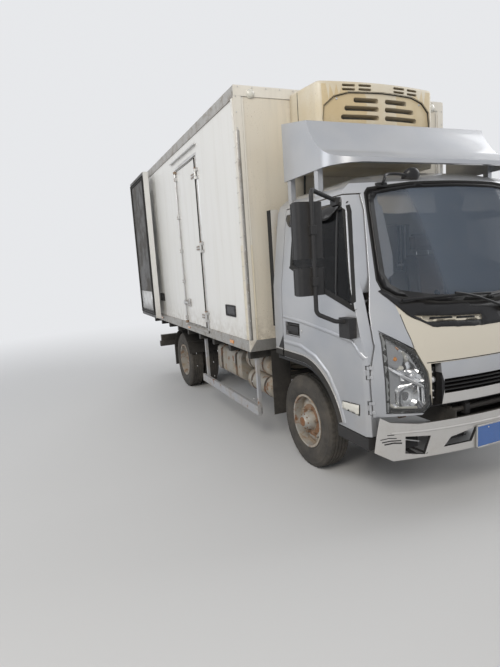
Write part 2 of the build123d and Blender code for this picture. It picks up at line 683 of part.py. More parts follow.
with BuildPart() as panel_cut:
    front_prism(both_halves([(0, 2560), (440, 2560), (520, 2660), (548, 2830), (536, 2930), (450, 3000),
                             (320, 3032), (0, 3040)]),
                (unit_side_x - 100, unit_front_x + 5))
    unit_plan(panel_sink, Mode.SUBTRACT)
with BuildPart() as fridge_unit:
    unit_plan(0, Mode.ADD)
    side_prism([(front_skin_x - 5, unit_bottom), (front_skin_x - 5, unit_back_top),
                (unit_front_x + 10, unit_front_top), (unit_front_x + 10, unit_bottom + 70),
                (unit_front_x - 90, unit_bottom)], (-unit_half_width - 20, unit_half_width + 20),
               mode=Mode.INTERSECT)
    top_face = fridge_unit.faces().sort_by(Axis.Z)[-1]
    fillet(top_face.edges().filter_by(lambda edge: edge.center().X > front_skin_x + 5), 28)
    add(panel_cut.part, mode=Mode.SUBTRACT)
    for slot_y, slot_z, half_w, half_h in unit_slots:
        for name, side in SIDES:
            with BuildSketch(Plane.YZ.offset(unit_side_x - slot_depth)) as slot:
                with Locations((side * slot_y, slot_z)):
                    SlotOverall(2 * half_w, 2 * half_h)
            extrude(slot.sketch, amount=slot_depth + unit_bow + 10, mode=Mode.SUBTRACT)
    block((front_skin_x - 5, box_front_x), (-unit_half_width - 20, unit_half_width + 20),
          (roof_underside, unit_back_top + 10), mode=Mode.SUBTRACT)
save(fridge_unit.part, "fridge_unit")

# Evaporator inside the box, under the roof at the front wall
with BuildPart() as evaporator:
    side_prism([(front_wall_inner_x, roof_underside), (front_wall_inner_x, 2850),
                (front_wall_inner_x - 330, 2930), (front_wall_inner_x - 430, 2990),
                (front_wall_inner_x - 430, roof_underside)], (-560, 560))
    for fan_y in (-330, 0, 330):
        with Locations(Plane((front_wall_inner_x - 440, fan_y, 3048), x_dir=(0, 1, 0), z_dir=(1, 0, 0))):
            Cylinder(46, 40, align=(Align.CENTER, Align.CENTER, Align.MIN), mode=Mode.SUBTRACT)
save(evaporator.part, "evaporator")


def cab_volume(inset):
    """The cab's closed form, inset all round: a bowed nose, leaning sides and a round back."""
    centre_x = nose_x - nose_radius
    section = [(cab_back_x - 200, cab_base - 200), (cab_back_x - 200, cab_roof_z),
               (front_axle_x + 560, cab_roof_z), (screen_top_x, cab_roof_z - 92),
               (screen_base_x, 1370), (nose_x - 22, 1180), (nose_x - 2, 950), (nose_x, cab_base - 200)]
    reversed_section = [(2 * centre_x - x, z) for x, z in section]
    half_front = [(cab_half_width - 14, cab_base - 200), (cab_half_width, 1120),
                  (cab_half_width - 8, 1520), (roof_half_width + 14, 2110), (roof_half_width - 10, 2172),
                  (roof_half_width - 70, 2222), (roof_half_width - 190, 2262),
                  (roof_half_width - 400, cab_roof_z - 10), (260, cab_roof_z + 1)]
    half_width = cab_half_width + 5 - inset
    with BuildPart() as volume:
        revolve(outline_face(Plane.XZ, reversed_section, inset=inset),
                axis=Axis((centre_x, 0, 0), (0, 0, 1)))
        front_prism(both_halves(half_front), (cab_back_x + inset, nose_x + 50),
                    mode=Mode.INTERSECT, inset=inset)
        back_corner = 160.0 - inset / 2
        with BuildSketch(Plane.XZ.offset(-1100)) as rounding:
            with BuildLine():
                Polyline((cab_back_x + inset, 300), (cab_back_x + inset, cab_roof_z - inset + 2),
                         (nose_x + 60, cab_roof_z - inset + 2), (nose_x + 60, 300), close=True)
            make_face()
            fillet(rounding.vertices().sort_by(Axis.X)[:2].sort_by(Axis.Y)[-1], back_corner)
        extrude(rounding.sketch, amount=2200, mode=Mode.INTERSECT)
        with BuildSketch(Plane.XY.offset(300)) as plan:
            with Locations((centre_x, 0)):
                Circle(nose_radius + 1 - inset)
            with Locations((nose_x - 900, 0)):
                Rectangle(2400, 2 * half_width, mode=Mode.INTERSECT)
            fillet(plan.vertices().group_by(Axis.X)[-1], 100 - inset / 2)
        extrude(plan.sketch, amount=2200, mode=Mode.INTERSECT)
    return volume.part


def arch_space(inset):
    """The space round a front wheel: a circle in front and a level top that runs to the cab's rear."""
    with BuildPart() as space:
        cross_cylinder(arch_centre_x, arch_centre_z, arch_radius - inset, (-1000, 1000))
        block((cab_back_x - 20, arch_centre_x), (-1000, 1000), (arch_centre_z - 200, arch_top - inset))
    return space.part


def hinge_planes(side):
    """Planes across the door's hinge line at its two hinges, with X forward along the skin."""
    low, high = [Vector(x, side * y, z) for x, y, z in door_hinge_line]
    return [Plane(place, x_dir=(0.68, -0.73 * side, 0), z_dir=high - low) for place in (low, high)]


cab_outer = cab_volume(0)
cab_inner = cab_volume(cab_wall)
cab_lining = cab_volume(cab_wall + lining_gap)
glass_outer = cab_volume(glass_inset)
glass_inner = cab_volume(glass_inset + glass_thickness)

# Cab skin: one hollow form, open below the sills and cut away round the front wheels
with BuildPart() as cab_shell:
    add(cab_outer)
    add(cab_inner, mode=Mode.SUBTRACT)
    block((cab_back_x - 10, nose_x + 20), (-1000, 1000), (cab_base - 300, cab_base), mode=Mode.SUBTRACT)
    block((cab_back_x - 10, front_axle_x - 150), (-1000, 1000), (cab_base - 10, back_wall_base),
          mode=Mode.SUBTRACT)
    add(arch_space(0), mode=Mode.SUBTRACT)

with BuildPart() as glass_layer:
    add(glass_outer)
    add(glass_inner, mode=Mode.SUBTRACT)

# Windscreen opening in front view, half of it as (y, z) points
screen_points = both_halves([(0, 1372), (400, 1395), (690, 1455), (772, 1512), (788, 1570), (758, 1846),
                             (727, 2140), (700, 2172), (380, 2200), (0, 2206)])
# Shut line between door and nose, and the window in the door, as (x, z) points
pillar_line = [(door_front_x, 1170), (front_axle_x + 872, 1575), (front_axle_x + 737, 2027),
               (front_axle_x + 700, roof_split_z - door_shut)]
door_points = ([(door_rear_x, door_bottom_z), (door_foot_x, door_bottom_z)] + pillar_line
               + [(door_rear_x, roof_split_z - door_shut)])
window_points = [(front_axle_x + 31, 1686), (front_axle_x + 573, 1498), (front_axle_x + 893, 1400),
                 (front_axle_x + 700, 2060), (front_axle_x + 31, 2040)]
side_cut_y = 600.0

# Headlamps in front view: one side as (y, z) points
lamp_points = [(852, 1258), (631, 1122), (552, 966), (537, 880), (540, 745), (581, 697), (841, 722)]
lamp_back = door_shut + 6
grille_z = (740.0, 1016.0)
grille_half = 528.0


def lamp_form(inset):
    """The space that each headlamp fills in the corner of the skin, kept clear of the doors."""
    back = lamp_back + inset
    with BuildPart() as form:
        for name, side in SIDES:
            front_prism([(side * y, z) for y, z in lamp_points], (front_axle_x + 800, nose_x + 60),
                        inset=inset)
        side_prism([(door_foot_x + back, cab_base)] + [(x + back, z) for x, z in pillar_line]
                   + [(nose_x + 60, roof_split_z), (nose_x + 60, cab_base)], (-1000, 1000),
                   mode=Mode.INTERSECT)
    return form.part


def hinge_leaf(side, forward, height, length):
    """A knuckle of a door hinge with the leaf that runs from it along the skin."""
    with Locations((0, 0, height)):
        Cylinder(door_knuckle_radius, length)
    with Locations((forward * door_leaf_reach / 2, -side * door_leaf_thickness / 2, height)):
        Box(door_leaf_reach, door_leaf_thickness, length)


def fixed_hinges(side):
    """The outer knuckles of both hinges of a door, with the pins between them."""
    for plane in hinge_planes(side):
        with Locations(plane):
            Cylinder(hinge_pocket_radius, 2 * (door_knuckle_half + door_bracket_length) + 12,
                     mode=Mode.SUBTRACT)
            for end in (-1, 1):
                hinge_leaf(side, 1, end * (door_knuckle_half + door_bracket_length / 2 + 1),
                           door_bracket_length)
            Cylinder(door_pin_radius, 2 * (door_knuckle_half + door_bracket_length))


def moving_hinges(side):
    """The middle knuckles of both hinges of a door, bored for the pins."""
    for plane in hinge_planes(side):
        with Locations(plane):
            Cylinder(hinge_pocket_radius, 2 * (door_knuckle_half + door_bracket_length) + 12,
                     mode=Mode.SUBTRACT)
            hinge_leaf(side, -1, 0, 2 * door_knuckle_half)
            Cylinder(door_pin_radius + bearing_clearance, 4 * door_knuckle_half, mode=Mode.SUBTRACT)


# Cab front: the nose, its corners and the windscreen pillars
with BuildPart() as nose_space:
    side_prism([(door_foot_x + door_shut, cab_base - 10)]
               + [(x + door_shut, z) for x, z in pillar_line]
               + [(front_axle_x + 700 + door_shut, roof_split_z), (nose_x + 60, roof_split_z),
                  (nose_x + 60, cab_base - 10)], (-1000, 1000))
    block((door_front_x - 110, nose_x), (-corner_inner_y, corner_inner_y), (cab_base - 10, 1290))
with BuildPart() as cab_front:
    add(cab_shell.part)
    add(nose_space.part, mode=Mode.INTERSECT)
    front_prism([(-1000, 500), (1000, 500), (1000, corner_base), (600, corner_base - 24),
                 (540, nose_base), (-540, nose_base), (-600, corner_base - 24), (-1000, corner_base)],
                (door_front_x - 100, nose_x + 60), mode=Mode.SUBTRACT)
    front_prism(screen_points, (front_axle_x + 560, nose_x + 60), mode=Mode.SUBTRACT)
    block((nose_x - 300, nose_x + 60), (-grille_half, grille_half), grille_z, mode=Mode.SUBTRACT)
    add(lamp_form(0), mode=Mode.SUBTRACT)
    for name, side in SIDES:
        fixed_hinges(side)
save(cab_front.part, "cab_front")

# Headlamps: the part of the corner skin that each lamp fills
with BuildPart() as headlamps:
    add(cab_outer)
    add(cab_inner, mode=Mode.SUBTRACT)
    add(lamp_form(seat_gap), mode=Mode.INTERSECT)
save(headlamps.part, "headlamps")

# Grille: two bars and slats between posts; its right corner piece is missing, as on this truck
grille_right = -455.0
with BuildPart() as grille:
    add(cab_outer)
    add(cab_inner, mode=Mode.SUBTRACT)
    block((nose_x - 300, nose_x + 60), (grille_right, grille_half - seat_gap),
          (grille_z[0] + seat_gap, grille_z[1] - seat_gap), mode=Mode.INTERSECT)
    for slot_z in (818, 844, 870, 896):
        block((nose_x - 300, nose_x + 60), (grille_right + 20, -grille_right - 20), (slot_z - 9, slot_z + 9),
              mode=Mode.SUBTRACT)
save(grille.part, "grille")

# Cab body: roof, back wall, rear corners, stepped floor, arch liners, steps and tilt arms
liner_gap = 7.0
liner_thickness = 26.0
step_z = (488.0, door_bottom_z - door_shut)
rear_window = ((-460.0, 460.0), (1560.0, 1990.0))
with BuildPart() as cab_floor:
    floor_line = [(cab_back_x + 20, floor_z), (front_axle_x + 500, floor_z),
                  (front_axle_x + 640, footwell_z), (door_front_x - 75, footwell_z),
                  (door_front_x - 30, floor_z), (door_front_x - 30, 1180)]
    underside = [(door_front_x - 30 + floor_plate, 1180), (door_front_x - 30 + floor_plate, floor_z - 30),
                 (door_front_x - 50, footwell_z - floor_plate),
                 (front_axle_x + 610, footwell_z - floor_plate),
                 (front_axle_x + 475, floor_z - floor_plate), (cab_back_x + 20, floor_z - floor_plate)]
    side_prism(floor_line + underside, (-floor_half_width, floor_half_width))
    add(cab_lining, mode=Mode.INTERSECT)
with BuildPart() as liner_space:
    for name, side in SIDES:
        block((cab_back_x, arch_centre_x + arch_radius), span(side, 700, 950), (step_z[0], arch_top))
with BuildPart() as arch_liners:
    add(arch_space(liner_gap))
    add(arch_space(liner_gap + liner_thickness), mode=Mode.SUBTRACT)
    add(liner_space.part, mode=Mode.INTERSECT)
with BuildPart() as cab_body:
    add(cab_shell.part)
    side_prism([(cab_back_x - 10, back_wall_base), (door_rear_x - door_shut, back_wall_base),
                (door_rear_x - door_shut, roof_split_z), (nose_x + 60, roof_split_z),
                (nose_x + 60, cab_roof_z + 20), (cab_back_x - 10, cab_roof_z + 20)], (-1000, 1000),
               mode=Mode.INTERSECT)
    front_prism(screen_points, (front_axle_x + 560, nose_x + 60), mode=Mode.SUBTRACT)
    block((cab_back_x - 10, cab_back_x + 80), *rear_window, mode=Mode.SUBTRACT)
    add(cab_floor.part)
    add(arch_liners.part)
    block((cab_back_x + 15, cab_back_x + cab_wall + lining_gap + 10), (-800, 800),
          (floor_z - floor_plate, floor_z + 30))
    block(duct_x, duct_y, duct_z)
    for bracket_z in (1300, 1980):
        block((duct_x[1] - 5, cab_back_x + 20), (-880, -850), (bracket_z, bracket_z + 40))
    for name, side in SIDES:
        block((cab_back_x + 5, arch_centre_x), span(side, 700, 760),
              (arch_top - liner_gap - 5, floor_z - floor_plate + 5))
        side_prism([(front_axle_x + 640, step_z[0]), (front_axle_x + 992, step_z[0]),
                    (front_axle_x + 994, step_z[1]), (front_axle_x + 640, step_z[1])],
                   span(side, 850, 960))
        block((front_axle_x + 690, front_axle_x + 900), span(side, 850, 880),
              (step_z[0], footwell_z - floor_plate))
        side_prism([(tilt_x - 34, tilt_z - 34), (tilt_x + 34, tilt_z - 34), (tilt_x + 34, tilt_z + 34),
                    (tilt_x + 4, nose_base - 10), (tilt_x + 4, 850), (door_front_x - 10, 930),
                    (door_front_x - 10, 790), (tilt_x - 34, tilt_z + 34)], span(side, 200, 240))
    add(arch_space(liner_gap + liner_thickness), mode=Mode.SUBTRACT)
    cross_cylinder(tilt_x, tilt_z, tilt_pin_radius + tilt_clearance, (-400, 400), mode=Mode.SUBTRACT)
save(cab_body.part, "cab_body")

# Fixed glass of the cab: the windscreen and the rear window
with BuildPart() as screen_prism:
    front_prism(screen_points, (front_axle_x + 560, nose_x + 60), inset=seat_gap)
    block((cab_back_x + glass_inset, cab_back_x + glass_inset + glass_thickness),
          (rear_window[0][0] + seat_gap, rear_window[0][1] - seat_gap),
          (rear_window[1][0] + seat_gap, rear_window[1][1] - seat_gap))
with BuildPart() as cab_glass:
    add(glass_layer.part)
    add(screen_prism.part, mode=Mode.INTERSECT)
save(cab_glass.part, "cab_glass")

# Roof deflector: a bowed hollow shell, open behind and below, on four feet
deflector_rear_x = front_axle_x - 140
deflector_low = cab_roof_z + 55
deflector_half = 868.0
deflector_wall = 22.0


def deflector_form(inset):
    """The deflector's form: a hollow-curved front that rises to the crest, crossed with its plan."""
    crest = (front_axle_x + 240 - inset, 2725 - inset)
    rear_top = (deflector_rear_x - 2 * inset, 2800 - inset)
    lip = (front_axle_x + 650 - 2 * inset, deflector_low - inset)
    with BuildPart() as form:
        with BuildSketch(Plane.XZ.offset(-1000)) as profile:
            with BuildLine():
                Polyline((lip[0], lip[1] + 30), lip, (rear_top[0], lip[1]), rear_top, crest)
                ThreePointArc(crest, (front_axle_x + 395 - 1.4 * inset, 2505 - inset), (lip[0], lip[1] + 30))
            make_face()
        extrude(profile.sketch, amount=2000)
        with BuildSketch(Plane.XY.offset(2300)) as plan:
            with Locations((front_axle_x + 650 - 900 - inset, 0)):
                Rectangle(1800, 2 * (deflector_half - inset))
            fillet(plan.vertices().group_by(Axis.X)[-1], 240 - inset)
        extrude(plan.sketch, amount=600, mode=Mode.INTERSECT)
    return form.part


deflector_outer = deflector_form(0)
deflector_inner = deflector_form(deflector_wall)
with BuildPart() as roof_deflector:
    add(deflector_outer)
    add(deflector_inner, mode=Mode.SUBTRACT)
    block((deflector_rear_x - 10, unit_front_x + 30), (-unit_half_width - 60, unit_half_width + 60),
          (unit_bottom - 60, unit_back_top), mode=Mode.SUBTRACT)
    for name, side in SIDES:
        for foot_x in (deflector_rear_x + 60, front_axle_x + 330):
            block((foot_x - 25, foot_x + 25), span(side, 815, deflector_half - 10),
                  (roof_split_z, deflector_low + 60))
    add(cab_outer, mode=Mode.SUBTRACT)
save(roof_deflector.part, "roof_deflector")

# Seats: a single seat on the left and a double on the right, each a cushion with its back
seat_profile = [(front_axle_x - 150, floor_z), (front_axle_x + 420, floor_z), (front_axle_x + 450, 1245),
                (front_axle_x + 20, 1205), (front_axle_x - 75, 1960), (front_axle_x - 170, 1960)]
with BuildPart() as seats:
    side_prism(seat_profile, (250, 780), radius=25)
    side_prism(seat_profile, (-780, 150), radius=25)
save(seats.part, "seats")

# Dashboard with the steering column and wheel on the left
dash_half = 840.0
dash_profile = [(door_front_x - 30 - seat_gap, 1060), (door_front_x - 30 - seat_gap, 1335),
                (door_front_x - 90, 1355), (door_front_x - 260, 1335), (door_front_x - 340, 1250),
                (door_front_x - 250, 1080)]
wheel_centre = (front_axle_x + 560, 455, 1410)
wheel_axis = (-cos(radians(58)), 0, sin(radians(58)))
with BuildPart() as dashboard:
    side_prism(dash_profile, (-dash_half, dash_half), radius=12)
    add(cab_lining, mode=Mode.INTERSECT)
    column = Plane(wheel_centre, x_dir=(0, 1, 0), z_dir=wheel_axis)
    with Locations(column):
        Torus(205, 15)
        Cylinder(48, 50)
        Box(400, 44, 16)
        with Locations((0, 0, -170)):
            Cylinder(38, 320)
save(dashboard.part, "dashboard")

# Cab doors with their hinges, glass and mirrors
handle_x = (front_axle_x - 65, front_axle_x + 170)
mirror_y = 1185.0
mirror_tube = 14.0
mirror_tube_x = front_axle_x + 800
# Mirror heads as (low z, high z)
mirror_heads = ((1500.0, 1675.0), (1730.0, 2080.0))


def side_slab(part, side, mode):
    """The given skin kept to one side of the cab."""
    add(part)
    block((cab_back_x - 10, nose_x + 60), span(side, side_cut_y, 1000), (cab_base - 20, roof_split_z),
          mode=mode)


for name, side in SIDES:
    outside = span(side, side_cut_y, 1000)
    with BuildPart() as door:
        side_slab(cab_shell.part, side, Mode.INTERSECT)
        side_prism(door_points, outside, mode=Mode.INTERSECT)
        side_prism(window_points, outside, mode=Mode.SUBTRACT, radius=45)
        block(handle_x, span(side, 945, 1000), (1130, 1240), mode=Mode.SUBTRACT)
        block((door_front_x - 118, nose_x), span(side, side_cut_y - 10, corner_inner_y + 5),
              (door_bottom_z - 10, roof_split_z), mode=Mode.SUBTRACT)
        moving_hinges(side)
    save(door.part, f"cab_door_{name}")
    with BuildPart() as pane:
        side_slab(glass_layer.part, side, Mode.INTERSECT)
        side_prism(window_points, outside, mode=Mode.INTERSECT, radius=45, inset=seat_gap)
    save(pane.part, f"door_glass_{name}")
    with BuildPart() as mirror:
        with BuildLine() as route:
            FilletPolyline((front_axle_x + 625, side * 880, 2098), (front_axle_x + 690, side * 1080, 2150),
                           (mirror_tube_x, side * mirror_y, 2150), (mirror_tube_x, side * mirror_y, 1385),
                           (front_axle_x + 850, side * 1080, 1330), (front_axle_x + 860, side * 985, 1318),
                           radius=45)
        with BuildSketch(Plane(route.line @ 0, z_dir=route.line % 0)) as tube:
            Circle(mirror_tube)
        sweep(tube.sketch, path=route.line)
        for low, high in mirror_heads:
            block((mirror_tube_x - 105, mirror_tube_x - 18), span(side, mirror_y - 95, mirror_y + 95),
                  (low, high))
            fillet(mirror.edges().filter_by(Axis.Z).filter_by(
                lambda edge: edge.center().Z > low and edge.center().Z < high
                and edge.center().X < mirror_tube_x - 10 and abs(edge.length - (high - low)) < 1), 30)
            block((mirror_tube_x - 30, mirror_tube_x), span(side, mirror_y - 14, mirror_y + 14),
                  ((low + high) / 2 - 30, (low + high) / 2 + 30))
        block((front_axle_x + 800, front_axle_x + 915), span(side, 940, 1022), (1215, 1345))
        block((front_axle_x + 590, front_axle_x + 660), span(side, 850, 915), (2072, 2122))
        add(cab_outer, mode=Mode.SUBTRACT)
    save(mirror.part, f"mirror_{name}")

# Front knuckles: a fork on the kingpin, a drum plate and the wheel's spindle
fork_gap = 1.0
fork_in = kingpin_y - 36
plate_y = front_wheel_y - 60
for name, side in SIDES:
    with BuildPart() as steering_knuckle:
        upright_cylinder(front_axle_x, side * kingpin_y, kingpin_radius,
                         (axle_height - 70, axle_height + 70))
        for low, high in ((axle_height - 70, axle_height - 42 - fork_gap),
                          (axle_height + 42 + fork_gap, axle_height + 70)):
            block((front_axle_x - 34, front_axle_x + 34), span(side, fork_in, plate_y), (low, high))
        cross_cylinder(front_axle_x, axle_height, 150, span(side, plate_y - 14, plate_y))
        cross_cylinder(front_axle_x, axle_height, spindle_radius,
                       span(side, plate_y - 5, front_wheel_y + 90))
        block((front_axle_x - 230, front_axle_x - 20), span(side, fork_in, fork_in + 32),
              (axle_height - 70, axle_height - 50))
    save(steering_knuckle.part, f"knuckle_{name}")

# Tyre section as (radius, distance from its middle), half of it
tyre_half = [(rim_radius + rim_seat, 70), (305, tyre_half_width), (tyre_radius, 76)]


def tyre_section(middle):
    """The closed section of one tyre about a middle plane, as (radius, distance) points."""
    return ([(radius, middle + out) for radius, out in tyre_half]
            + [(radius, middle - out) for radius, out in reversed(tyre_half)])


def rim_section(middle, disc_out, dish):
    """A rim barrel with its lips and the dished disc that ends at the bolting face."""
    barrel_inner = rim_radius - rim_wall
    face_out = middle + disc_out
    cone_out = face_out + dish
    return [(barrel_inner, middle - rim_half_width), (barrel_inner, cone_out - disc_thickness),
            (bolt_face_radius, face_out - disc_thickness), (0, face_out - disc_thickness), (0, face_out),
            (bolt_face_radius, face_out), (barrel_inner, cone_out),
            (barrel_inner, middle + rim_half_width + rim_lip),
            (rim_lip_radius, middle + rim_half_width + rim_lip),
            (rim_lip_radius, middle + rim_half_width), (rim_radius, middle + rim_half_width - 4),
            (rim_radius, middle - rim_half_width + 4), (rim_lip_radius, middle - rim_half_width),
            (rim_lip_radius, middle - rim_half_width - rim_lip),
            (barrel_inner, middle - rim_half_width - rim_lip)]


def hand_hole_ring(x, y, side):
    """The ring of oval holes through a disc, cut along the wheel's axis from y[0] out to y[1]."""
    plane = Plane((x, side * y[0], axle_height), x_dir=(0, 0, 1), z_dir=(0, side, 0))
    with BuildSketch(plane) as ovals:
        with PolarLocations(hand_hole_circle, hand_holes):
            Ellipse(hand_hole_height / 2, hand_hole_length / 2)
    extrude(ovals.sketch, amount=y[1] - y[0], mode=Mode.SUBTRACT)


for name, side in SIDES:
    with BuildPart() as front_tyre:
        wheel_ring(front_axle_x, 0, side, tyre_section(front_wheel_y))
    save(front_tyre.part, f"tyre_front_{name}")
    with BuildPart() as rear_tyres:
        for middle in (twin_inner_y, twin_outer_y):
            wheel_ring(rear_axle_x, 0, side, tyre_section(middle))
    save(rear_tyres.part, f"tyres_rear_{name}")
    with BuildPart() as front_rim:
        wheel_ring(front_axle_x, 0, side, rim_section(front_wheel_y, 37, -34))
        wheel_ring(front_axle_x, 0, side, [(0, plate_y + 6), (drum_radius, plate_y + 6),
                                           (drum_radius, front_wheel_y - 14), (118, front_wheel_y - 14),
                                           (95, front_wheel_y + 31), (0, front_wheel_y + 31)])
        wheel_ring(front_axle_x, 0, side, [(0, front_wheel_y + 30), (82, front_wheel_y + 30),
                                           (66, front_wheel_y + 88), (52, front_wheel_y + 110),
                                           (44, front_wheel_y + 122), (0, front_wheel_y + 122)])
        cross_cylinder(front_axle_x, axle_height, spindle_radius + bearing_clearance,
                       span(side, plate_y - 10, front_wheel_y + 92), mode=Mode.SUBTRACT)
        hand_hole_ring(front_axle_x, (front_wheel_y - 8, front_wheel_y + 60), side)
    save(front_rim.part, f"rim_front_{name}")
    with BuildPart() as rear_rims:
        joint_y = (twin_inner_y + twin_outer_y) / 2
        wheel_ring(rear_axle_x, 0, side,
                   rim_section(twin_outer_y, joint_y + disc_thickness - twin_outer_y, 36))
        wheel_ring(rear_axle_x, 0, side, rim_section(twin_inner_y, joint_y - twin_inner_y, -36))
        wheel_ring(rear_axle_x, 0, side, [(0, 590), (drum_radius + 10, 590), (drum_radius + 10, 740),
                                          (95, joint_y - 6), (0, joint_y - 6)])
        wheel_ring(rear_axle_x, 0, side, [(0, joint_y), (90, joint_y), (78, 868), (62, 884), (0, 884)])
        cross_cylinder(rear_axle_x, axle_height, rear_spindle_radius + bearing_clearance,
                       span(side, 585, 862), mode=Mode.SUBTRACT)
        hand_hole_ring(rear_axle_x, (twin_outer_y - 112, twin_outer_y - 60), side)
    save(rear_rims.part, f"rims_rear_{name}")
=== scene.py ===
# %% [markdown]
# # Dressing a refrigerated truck
# The truck arrives as a fixed frame: every panel, wheel and door already has its real size and
# its joint. This lesson gives each of them its finish, and adds the small things that make a
# worn delivery truck believable: seals, lamps, wipers, bolts, seats and road dust.
# Everything is in metres, X forward, Y to the truck's left and Z up.

# %% Load the frame
import bpy
import bmesh
import json
import math
from mathutils import Matrix, Vector
from mathutils.bvhtree import BVHTree
from mathutils.geometry import delaunay_2d_cdt


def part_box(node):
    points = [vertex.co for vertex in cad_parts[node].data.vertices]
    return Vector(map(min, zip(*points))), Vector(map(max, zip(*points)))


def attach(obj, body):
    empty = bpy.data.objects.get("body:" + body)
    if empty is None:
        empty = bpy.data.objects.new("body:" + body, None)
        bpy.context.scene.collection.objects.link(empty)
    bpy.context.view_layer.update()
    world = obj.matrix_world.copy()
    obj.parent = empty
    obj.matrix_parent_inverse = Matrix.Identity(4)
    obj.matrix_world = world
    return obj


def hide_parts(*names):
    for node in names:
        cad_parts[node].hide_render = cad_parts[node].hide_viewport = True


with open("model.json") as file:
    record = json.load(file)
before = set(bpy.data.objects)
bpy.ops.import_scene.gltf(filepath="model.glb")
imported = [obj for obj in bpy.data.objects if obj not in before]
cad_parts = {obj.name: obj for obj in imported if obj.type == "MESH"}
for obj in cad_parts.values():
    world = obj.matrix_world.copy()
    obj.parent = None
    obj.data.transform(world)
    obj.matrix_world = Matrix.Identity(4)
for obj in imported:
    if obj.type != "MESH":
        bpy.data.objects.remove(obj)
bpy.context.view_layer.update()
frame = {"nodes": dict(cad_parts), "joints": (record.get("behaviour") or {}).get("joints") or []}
nodes = frame["nodes"]
joint_at = {joint["name"]: Vector(joint["pos_m"]) for joint in frame["joints"]}
front_axle = joint_at["front_left_spin"]
rear_axle = joint_at["rear_left_spin"]
axle_x = front_axle.x
SIDES = (("left", 1), ("right", -1))

# %% [markdown]
# ## The camera
# A photograph fixes six numbers for the camera's place and turn, and one for its lens. They
# were solved once on the straight edges of the box and on the wheel rims, so the script only
# has to turn heading, dip and roll into the camera's three axes.

# %% Camera at the photograph's place
photo_height = 667
focal_pixels = 477.9
camera_x, camera_y, camera_z = 5.2365, -2.735, 1.733
heading, dip, roll = (math.radians(angle) for angle in (157.39, 8.41, -3.857))
forward = Vector((math.cos(heading) * math.cos(dip), math.sin(heading) * math.cos(dip),
                  -math.sin(dip)))
level = forward.cross(Vector((0, 0, 1))).normalized()
upright = level.cross(forward)
right = level * math.cos(roll) + upright * math.sin(roll)
above = upright * math.cos(roll) - level * math.sin(roll)
camera = bpy.data.objects.new("camera", bpy.data.cameras.new("camera"))
bpy.context.scene.collection.objects.link(camera)
camera.matrix_world = Matrix((
    (right.x, above.x, -forward.x, camera_x), (right.y, above.y, -forward.y, camera_y),
    (right.z, above.z, -forward.z, camera_z), (0, 0, 0, 1)))
camera.data.sensor_width = 36
camera.data.lens = camera.data.sensor_width * focal_pixels / photo_height
camera.data.clip_start = 0.05
bpy.context.scene.camera = camera
print("lens", round(camera.data.lens, 2), "mm")

# %% [markdown]
# ## Floor, sky and lamps
# A studio for a truck is a large pale floor under one broad sky. The sky that lights the truck
# and the sky that the camera sees can differ: Light Path picks the plain pale backdrop for what
# the camera, mirrors and glass see. Three area lamps give the paint its soft long highlights.

# %% Studio
BACKDROP = (0.80, 0.81, 0.83)


def studio_sky(light_colour, light_strength, seen_colour):
    world = bpy.data.worlds.new("studio")
    bpy.context.scene.world = world
    world.use_nodes = True
    tree = world.node_tree
    tree.nodes.clear()
    output = tree.nodes.new("ShaderNodeOutputWorld")
    lighting = tree.nodes.new("ShaderNodeBackground")
    lighting.inputs[0].default_value = (*light_colour, 1)
    lighting.inputs[1].default_value = light_strength
    seen = tree.nodes.new("ShaderNodeBackground")
    seen.inputs[0].default_value = (*seen_colour, 1)
    path = tree.nodes.new("ShaderNodeLightPath")
    rays = None
    for name in ("Is Camera Ray", "Is Glossy Ray", "Is Transmission Ray"):
        if rays is None:
            rays = path.outputs[name]
            continue
        either = tree.nodes.new("ShaderNodeMath")
        either.operation = "MAXIMUM"
        tree.links.new(rays, either.inputs[0])
        tree.links.new(path.outputs[name], either.inputs[1])
        rays = either.outputs[0]
    mix = tree.nodes.new("ShaderNodeMixShader")
    tree.links.new(rays, mix.inputs[0])
    tree.links.new(lighting.outputs[0], mix.inputs[1])
    tree.links.new(seen.outputs[0], mix.inputs[2])
    tree.links.new(mix.outputs[0], output.inputs[0])


def area_lamp(name, place, target, size, power, colour=(1, 1, 1)):
    data = bpy.data.lights.new(name, "AREA")
    data.size = size
    data.energy = power
    data.color = colour
    lamp = bpy.data.objects.new(name, data)
    lamp.location = place
    lamp.rotation_euler = (Vector(target) - Vector(place)).to_track_quat("-Z", "Y").to_euler()
    bpy.context.scene.collection.objects.link(lamp)


studio_sky((0.92, 0.95, 1.0), 0.42, BACKDROP)
area_lamp("key_lamp", (9.0, -7.0, 7.5), (0.5, 0, 1.5), 4.0, 640, (1.0, 0.95, 0.87))
area_lamp("side_lamp", (-3.0, -10.0, 6.0), (-0.5, 0, 1.5), 6.0, 210, (0.95, 0.97, 1.0))
area_lamp("left_lamp", (2.0, 10.0, 7.0), (0, 0, 1.5), 6.0, 330)
area_lamp("rear_lamp", (-10.0, 1.0, 6.0), (-2, 0, 1.5), 5.0, 300)
bpy.context.scene.view_settings.view_transform = "Standard"
floor = bpy.data.objects.new("floor", bpy.data.meshes.new("floor"))
floor.data.from_pydata([(-40, -40, 0), (40, -40, 0), (40, 40, 0), (-40, 40, 0)], [], [(0, 1, 2, 3)])
bpy.context.scene.collection.objects.link(floor)

# %% [markdown]
# ## A small workbench for finishes
# Paint on a working truck is one base colour under several thin stories: dust that settles low,
# streaks that run down, specks thrown up by the wheels, and painted shade that darkens the
# corners. Each story is a mask from noise, from the height above the road, and for the corners
# from ambient occlusion. The workbench below adds one node at a time and hands back its output,
# so a finish reads like a recipe.

# %% The finish workbench
SOCKETS = {"colour": "Base Color", "rough": "Roughness", "metal": "Metallic", "coat": "Coat Weight",
           "coat_rough": "Coat Roughness", "alpha": "Alpha", "sheen": "Sheen Weight",
           "shine": "Specular IOR Level"}


